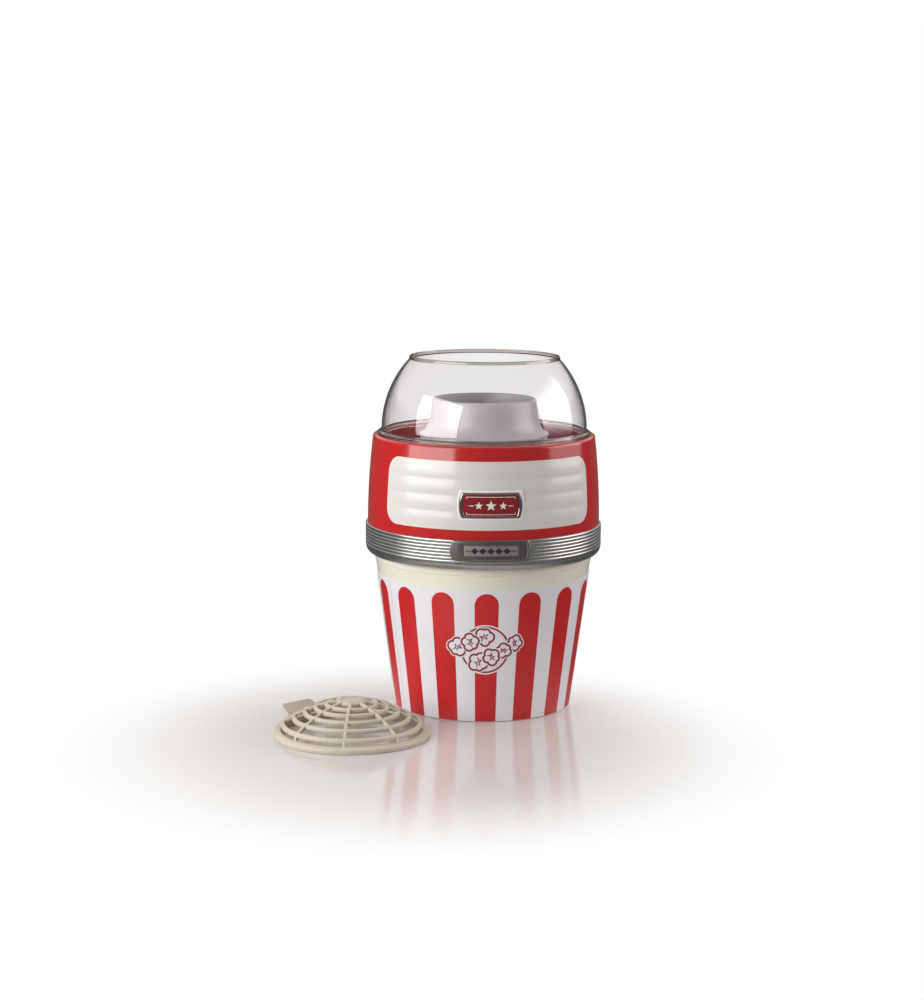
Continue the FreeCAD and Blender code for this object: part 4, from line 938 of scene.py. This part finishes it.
def make_dome():
    """The clear dome, with its foot and lip given a darker brown tint as painted shade for their
    dark edges.
    """
    base, top = low("dome"), high("dome")
    radius, wall, centre = 104.0, 2.2, 283.0
    rim_start = 354.0
    steps, gap = 60, 0.02

    def arc(radius):
        limit = math.asin((rim_start - centre) / radius)
        points = [polar(radius, limit * step / steps) for step in range(steps + 1)]
        return [(out, centre + up) for out, up in points]

    outer, inner = arc(radius), arc(radius - wall)[::-1]
    lathe("dome_shell", outer + inner, "dome", "clear_plastic", stands_for=["dome"], sharp=35)
    foot = fillets([(radius - wall, centre - gap), (radius - wall, base, 0.3),
                    (reach("dome"), base, 0.7), (reach("dome"), base + 2.4, 0.9),
                    (radius + 0.4, base + 2.9, 1.4), (radius, centre - gap)])
    lathe("dome_foot", foot, "dome", "clear_plastic", stands_for=["dome"], look=RIM_PAINTED_SHADE,
          sharp=35)
    lip = fillets([(outer[-1][0], rim_start + gap), (76.4, rim_start + 0.5, 0.4),
                   (75.7, top, 0.9), (72.4, top, 0.9), (inner[0][0], rim_start + gap)])
    lathe("dome_lip", lip, "dome", "clear_plastic", stands_for=["dome"], look=RIM_PAINTED_SHADE, sharp=35)


# ---- grille lid --------------------------------------------------------------------------------

LID_RADIUS = 76.0
LID_RIM_WIDTH = 8.0
LID_RIM_HEIGHT = 6.5
LID_DISC = 14.5
LID_FIRST_RING = 24.4
LID_RING_STEP = 10.5
LID_RINGS = 5
LID_SPOKES = 8
LID_TURN = math.radians(129)
LID_CENTRE = (-134.7, -133.1)
LID_REACH = 88         # to the handle's end
LID_HANDLE = 19.5      # half the handle's width
LID_CROWN = 35.6       # height the domed outside would have in the middle
LID_FALL = 0.005       # per millimetre of radius squared


def lid_height(radius):
    """Height of the lid's domed outside at a radius."""
    return LID_CROWN - LID_FALL * radius ** 2


def bar_along(points, half_width, depth, edge):
    """A bar with rounded upper edges along points of (radius, height) in the plane y = 0."""
    section = fillets([(-half_width, 0, edge), (half_width, 0, edge),
                       (half_width, -depth, edge * 0.6), (-half_width, -depth, edge * 0.6)],
                      steps=3)
    vertices = []
    for index, (radius, height) in enumerate(points):
        before = Vector(points[max(0, index - 1)])
        after = Vector(points[min(len(points) - 1, index + 1)])
        along = (after - before).normalized()
        up = Vector((-along.y, along.x)) if along.x > 0 else Vector((along.y, -along.x))
        for across, rise in section:
            vertices.append((radius + up.x * rise, across, height + up.y * rise))
    return vertices, capped(len(section), len(points))


def make_lid():
    """The grille: rim, disc, rings, spokes and handle."""
    shape = Shape()

    def turned(angle):
        across, along = math.sin(angle), math.cos(angle)

        def move(vertex):
            x, y, z = vertex
            return (x * along - y * across + LID_CENTRE[0],
                    x * across + y * along + LID_CENTRE[1], z)
        return move

    still = turned(0)
    rim_inner = LID_RADIUS - LID_RIM_WIDTH
    rim = fillets([(rim_inner, 0.1, 0.6), (LID_RADIUS, 0, 0.8),
                   (LID_RADIUS, LID_RIM_HEIGHT - 2.0, 2.2),
                   (LID_RADIUS - 4.5, LID_RIM_HEIGHT - 0.1, 3), (rim_inner, LID_RIM_HEIGHT, 1.2)])
    shape.add(*lathe_mesh(rim), move=still)
    top = high("grille_lid")
    disc = fillets([(0.01, top - 3.8), (LID_DISC, top - 3.9, 0.8), (LID_DISC, top - 0.6, 1.6),
                    (LID_DISC - 4, top - 0.1, 2), (10.6, top), (9.8, top - 0.7, 0.5),
                    (9.0, top - 0.1, 0.6), (0.01, top)])
    shape.add(*lathe_mesh(disc), move=still)
    half, depth = 2.0, 3.9
    for ring in range(LID_RINGS):
        radius = LID_FIRST_RING + ring * LID_RING_STEP
        height = lid_height(radius)
        fall = -2 * LID_FALL * radius * half * 0.8
        section = fillets([
            (radius - half, height - depth, 0.7), (radius + half, height - depth + fall, 0.7),
            (radius + half, height + fall - 0.2, 1.5), (radius - half, height - fall - 0.4, 1.5)],
            steps=4)
        shape.add(*lathe_mesh(section), move=still)
    start, end = rim_inner - 1.5, LID_DISC - 2.5
    steps = 26
    line = [(rim_inner + 3.2, LID_RIM_HEIGHT - 1.4), (rim_inner + 2.2, LID_RIM_HEIGHT + 0.4),
            (rim_inner + 0.8, LID_RIM_HEIGHT + 3.0), (rim_inner - 0.4, lid_height(start) - 0.8)]
    line += [(radius, lid_height(radius) - 0.1) for radius in
             (start + (end - start) * step / steps for step in range(steps + 1))]
    spoke = bar_along(line, 1.6, 3.2, 0.9)
    for number in range(LID_SPOKES):
        shape.add(*spoke, move=turned(LID_TURN + math.tau * number / LID_SPOKES))
    vertices = []
    steps = 14
    for step in range(steps + 1):
        part = step / steps
        radius = LID_RADIUS - 5 + (LID_REACH - LID_RADIUS + 5) * part
        rise = LID_RIM_HEIGHT - 1.0 + 10.9 * part ** 0.9
        half_width = LID_HANDLE - 2.2 * max(0, (part - 0.75) / 0.25) ** 2
        loop = fillets([(-half_width, rise, 1.2), (half_width, rise, 1.2),
                        (half_width, rise - 2.7, 1.0), (-half_width, rise - 2.7, 1.0)], steps=4)
        vertices += [(radius, across, height) for across, height in loop]
    shape.add(vertices, capped(len(loop), steps + 1), move=turned(LID_TURN))
    shape.piece("lid_grille", "lid", "beige_plastic", stands_for=["grille_lid"], sharp=42)


# ---- pieces kept from the CAD model ------------------------------------------------------------

def dress_cad():
    """Give every CAD node its material and smooth shading between its sharp edges."""
    slots = {part["node"]: part["material_slot"] for part in frame["record"]["subparts"]}
    for name, node in frame["nodes"].items():
        node.data.materials.clear()
        node.data.materials.append(LOOKS[slots[name]])
        node.data.shade_smooth()
        node.data.set_sharp_from_angle(angle=math.radians(30))


# ---- stage, light and camera -------------------------------------------------------------------

def make_stage():
    """A pale glossy table top that fades out into the white all round."""
    radius, rings, around = 1.5, 24, 96
    middle, solid, gone = (-0.07, -0.17, 0), 0.14, 0.36
    vertices = [(0, 0, 0)] + [(*polar(radius * ring / rings, math.tau * step / around), 0)
                              for ring in range(1, rings + 1) for step in range(around)]
    mesh = bpy.data.meshes.new("table_top")
    mesh.from_pydata(vertices, [], disc_faces(around, rings))
    made, tree, shader = new_material("table_white")
    distance = add_node(tree, "VectorMath", {0: position(tree)}, operation="LENGTH")
    fill(tree, shader, {
        "Base Color": tint(tree, noise(tree, 2), (0.62, 0.59, 0.55), (0.65, 0.62, 0.58)),
        "Roughness": spread(tree, noise(tree, 9, 4), 0.09, 0.14),
        "Alpha": ramp(tree, distance.outputs["Value"], solid, gone, 1, 0)})
    mesh.materials.append(made)
    table = bpy.data.objects.new("table_top", mesh)
    table.location = middle
    bpy.context.scene.collection.objects.link(table)
    table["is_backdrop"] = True


def make_world():
    """White to look at and straight through glass; a room, dim in front, for the rest."""
    world = bpy.data.worlds.new("studio")
    world.use_nodes = True
    tree = world.node_tree
    parts = axes(tree, position(tree, "Generated"))
    height = ramp(tree, parts["Z"], 0.10, 0.26, 0.10, 0.95)
    behind = ramp(tree, parts["Y"], -0.3, 0.5, 0.0, 1.0)
    strength = add_node(tree, "Mix", {"A": 0.20, "B": height, "Factor": behind})
    room = tree.nodes["Background"]
    fill(tree, room, {"Color": (1, 0.975, 0.96, 1), "Strength": strength.outputs["Result"]})
    seen = add_node(tree, "Background", {"Color": (1, 1, 1, 1)})
    path = add_node(tree, "LightPath", {}).outputs
    straight = calculate(tree, "LESS_THAN", path["Glossy Depth"], 0.5)
    through_glass = calculate(tree, "MULTIPLY", straight, path["Is Transmission Ray"])
    either = calculate(tree, "MAXIMUM", through_glass, path["Is Camera Ray"])
    mixed = add_node(tree, "MixShader", {"Fac": either, 1: room.outputs["Background"],
                                         2: seen.outputs["Background"]})
    fill(tree, tree.nodes["World Output"], {"Surface": mixed.outputs["Shader"]})
    bpy.context.scene.world = world


def soften(lamp, edge):
    """Fade the lamp towards the top and bottom of its face over a share edge of its height."""
    lamp.use_nodes = True
    tree = lamp.node_tree
    face = add_node(tree, "NewGeometry", {}).outputs["Parametric"]
    inwards = calculate(tree, "PINGPONG", axes(tree, face)["Y"], 0.5)
    fill(tree, tree.nodes["Emission"], {"Strength": ramp(tree, inwards, 0, edge, 0, 1)})


def soft_box(name, azimuth, elevation, size, power, colour=(1, 1, 1)):
    """An area lamp round the machine; azimuth is measured from the front, to the right."""
    aim, distance = Vector((0, 0, 0.25)), 1.5
    lamp = bpy.data.lights.new(name, "AREA")
    lamp.shape = "RECTANGLE"
    lamp.size, lamp.size_y = size
    lamp.energy = power
    lamp.color = colour
    made = bpy.data.objects.new(name, lamp)
    turn, up = math.radians(azimuth), math.radians(elevation)
    away = Vector((math.sin(turn) * math.cos(up), -math.cos(turn) * math.cos(up), math.sin(up)))
    made.location = aim + away * distance
    made.rotation_euler = (-away).to_track_quat("-Z", "Y").to_euler()
    bpy.context.scene.collection.objects.link(made)
    return lamp


def make_lights():
    """Tall soft boxes left and right, which the glossy pieces mirror."""
    soft_box("box_left", -58, 15, (1.45, 1.0), 23.5)
    soften(soft_box("box_right", 88, 17, (1.3, 1.35), 27, (1.0, 0.96, 0.975)), 0.45)
    bpy.context.scene.view_settings.view_transform = "Standard"


def make_camera():
    """The camera stands a little left of the machine's front and looks slightly down."""
    stand = Vector((-0.1379, -2.2123, 0.5564))
    camera = bpy.data.cameras.new("camera")
    camera.lens = 79.2
    camera.sensor_width = 36
    made = bpy.data.objects.new("camera", camera)
    turn, pitch, roll = math.radians(3), math.radians(8.9), math.radians(0.37)
    forward = Vector((math.sin(turn) * math.cos(pitch), math.cos(turn) * math.cos(pitch),
                      -math.sin(pitch)))
    level = Vector((math.cos(turn), -math.sin(turn), 0))
    up = level.cross(forward)
    right = level * math.cos(roll) + up * math.sin(roll)
    up = right.cross(forward)
    place = Matrix((right, up, -forward)).transposed().to_4x4()
    place.translation = stand
    made.matrix_world = place
    bpy.context.scene.collection.objects.link(made)
    bpy.context.scene.camera = made


dress_cad()
make_bucket()
make_sleeve()
make_emblem()
make_shell()
make_ring()
make_panel()
make_badge()
make_name_plate()
make_liner()
make_collar()
make_dome()
make_lid()
make_stage()
make_world()
make_lights()
make_camera()

rows = [[list(corner) for corner in box] for box in (cad_box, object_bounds())]
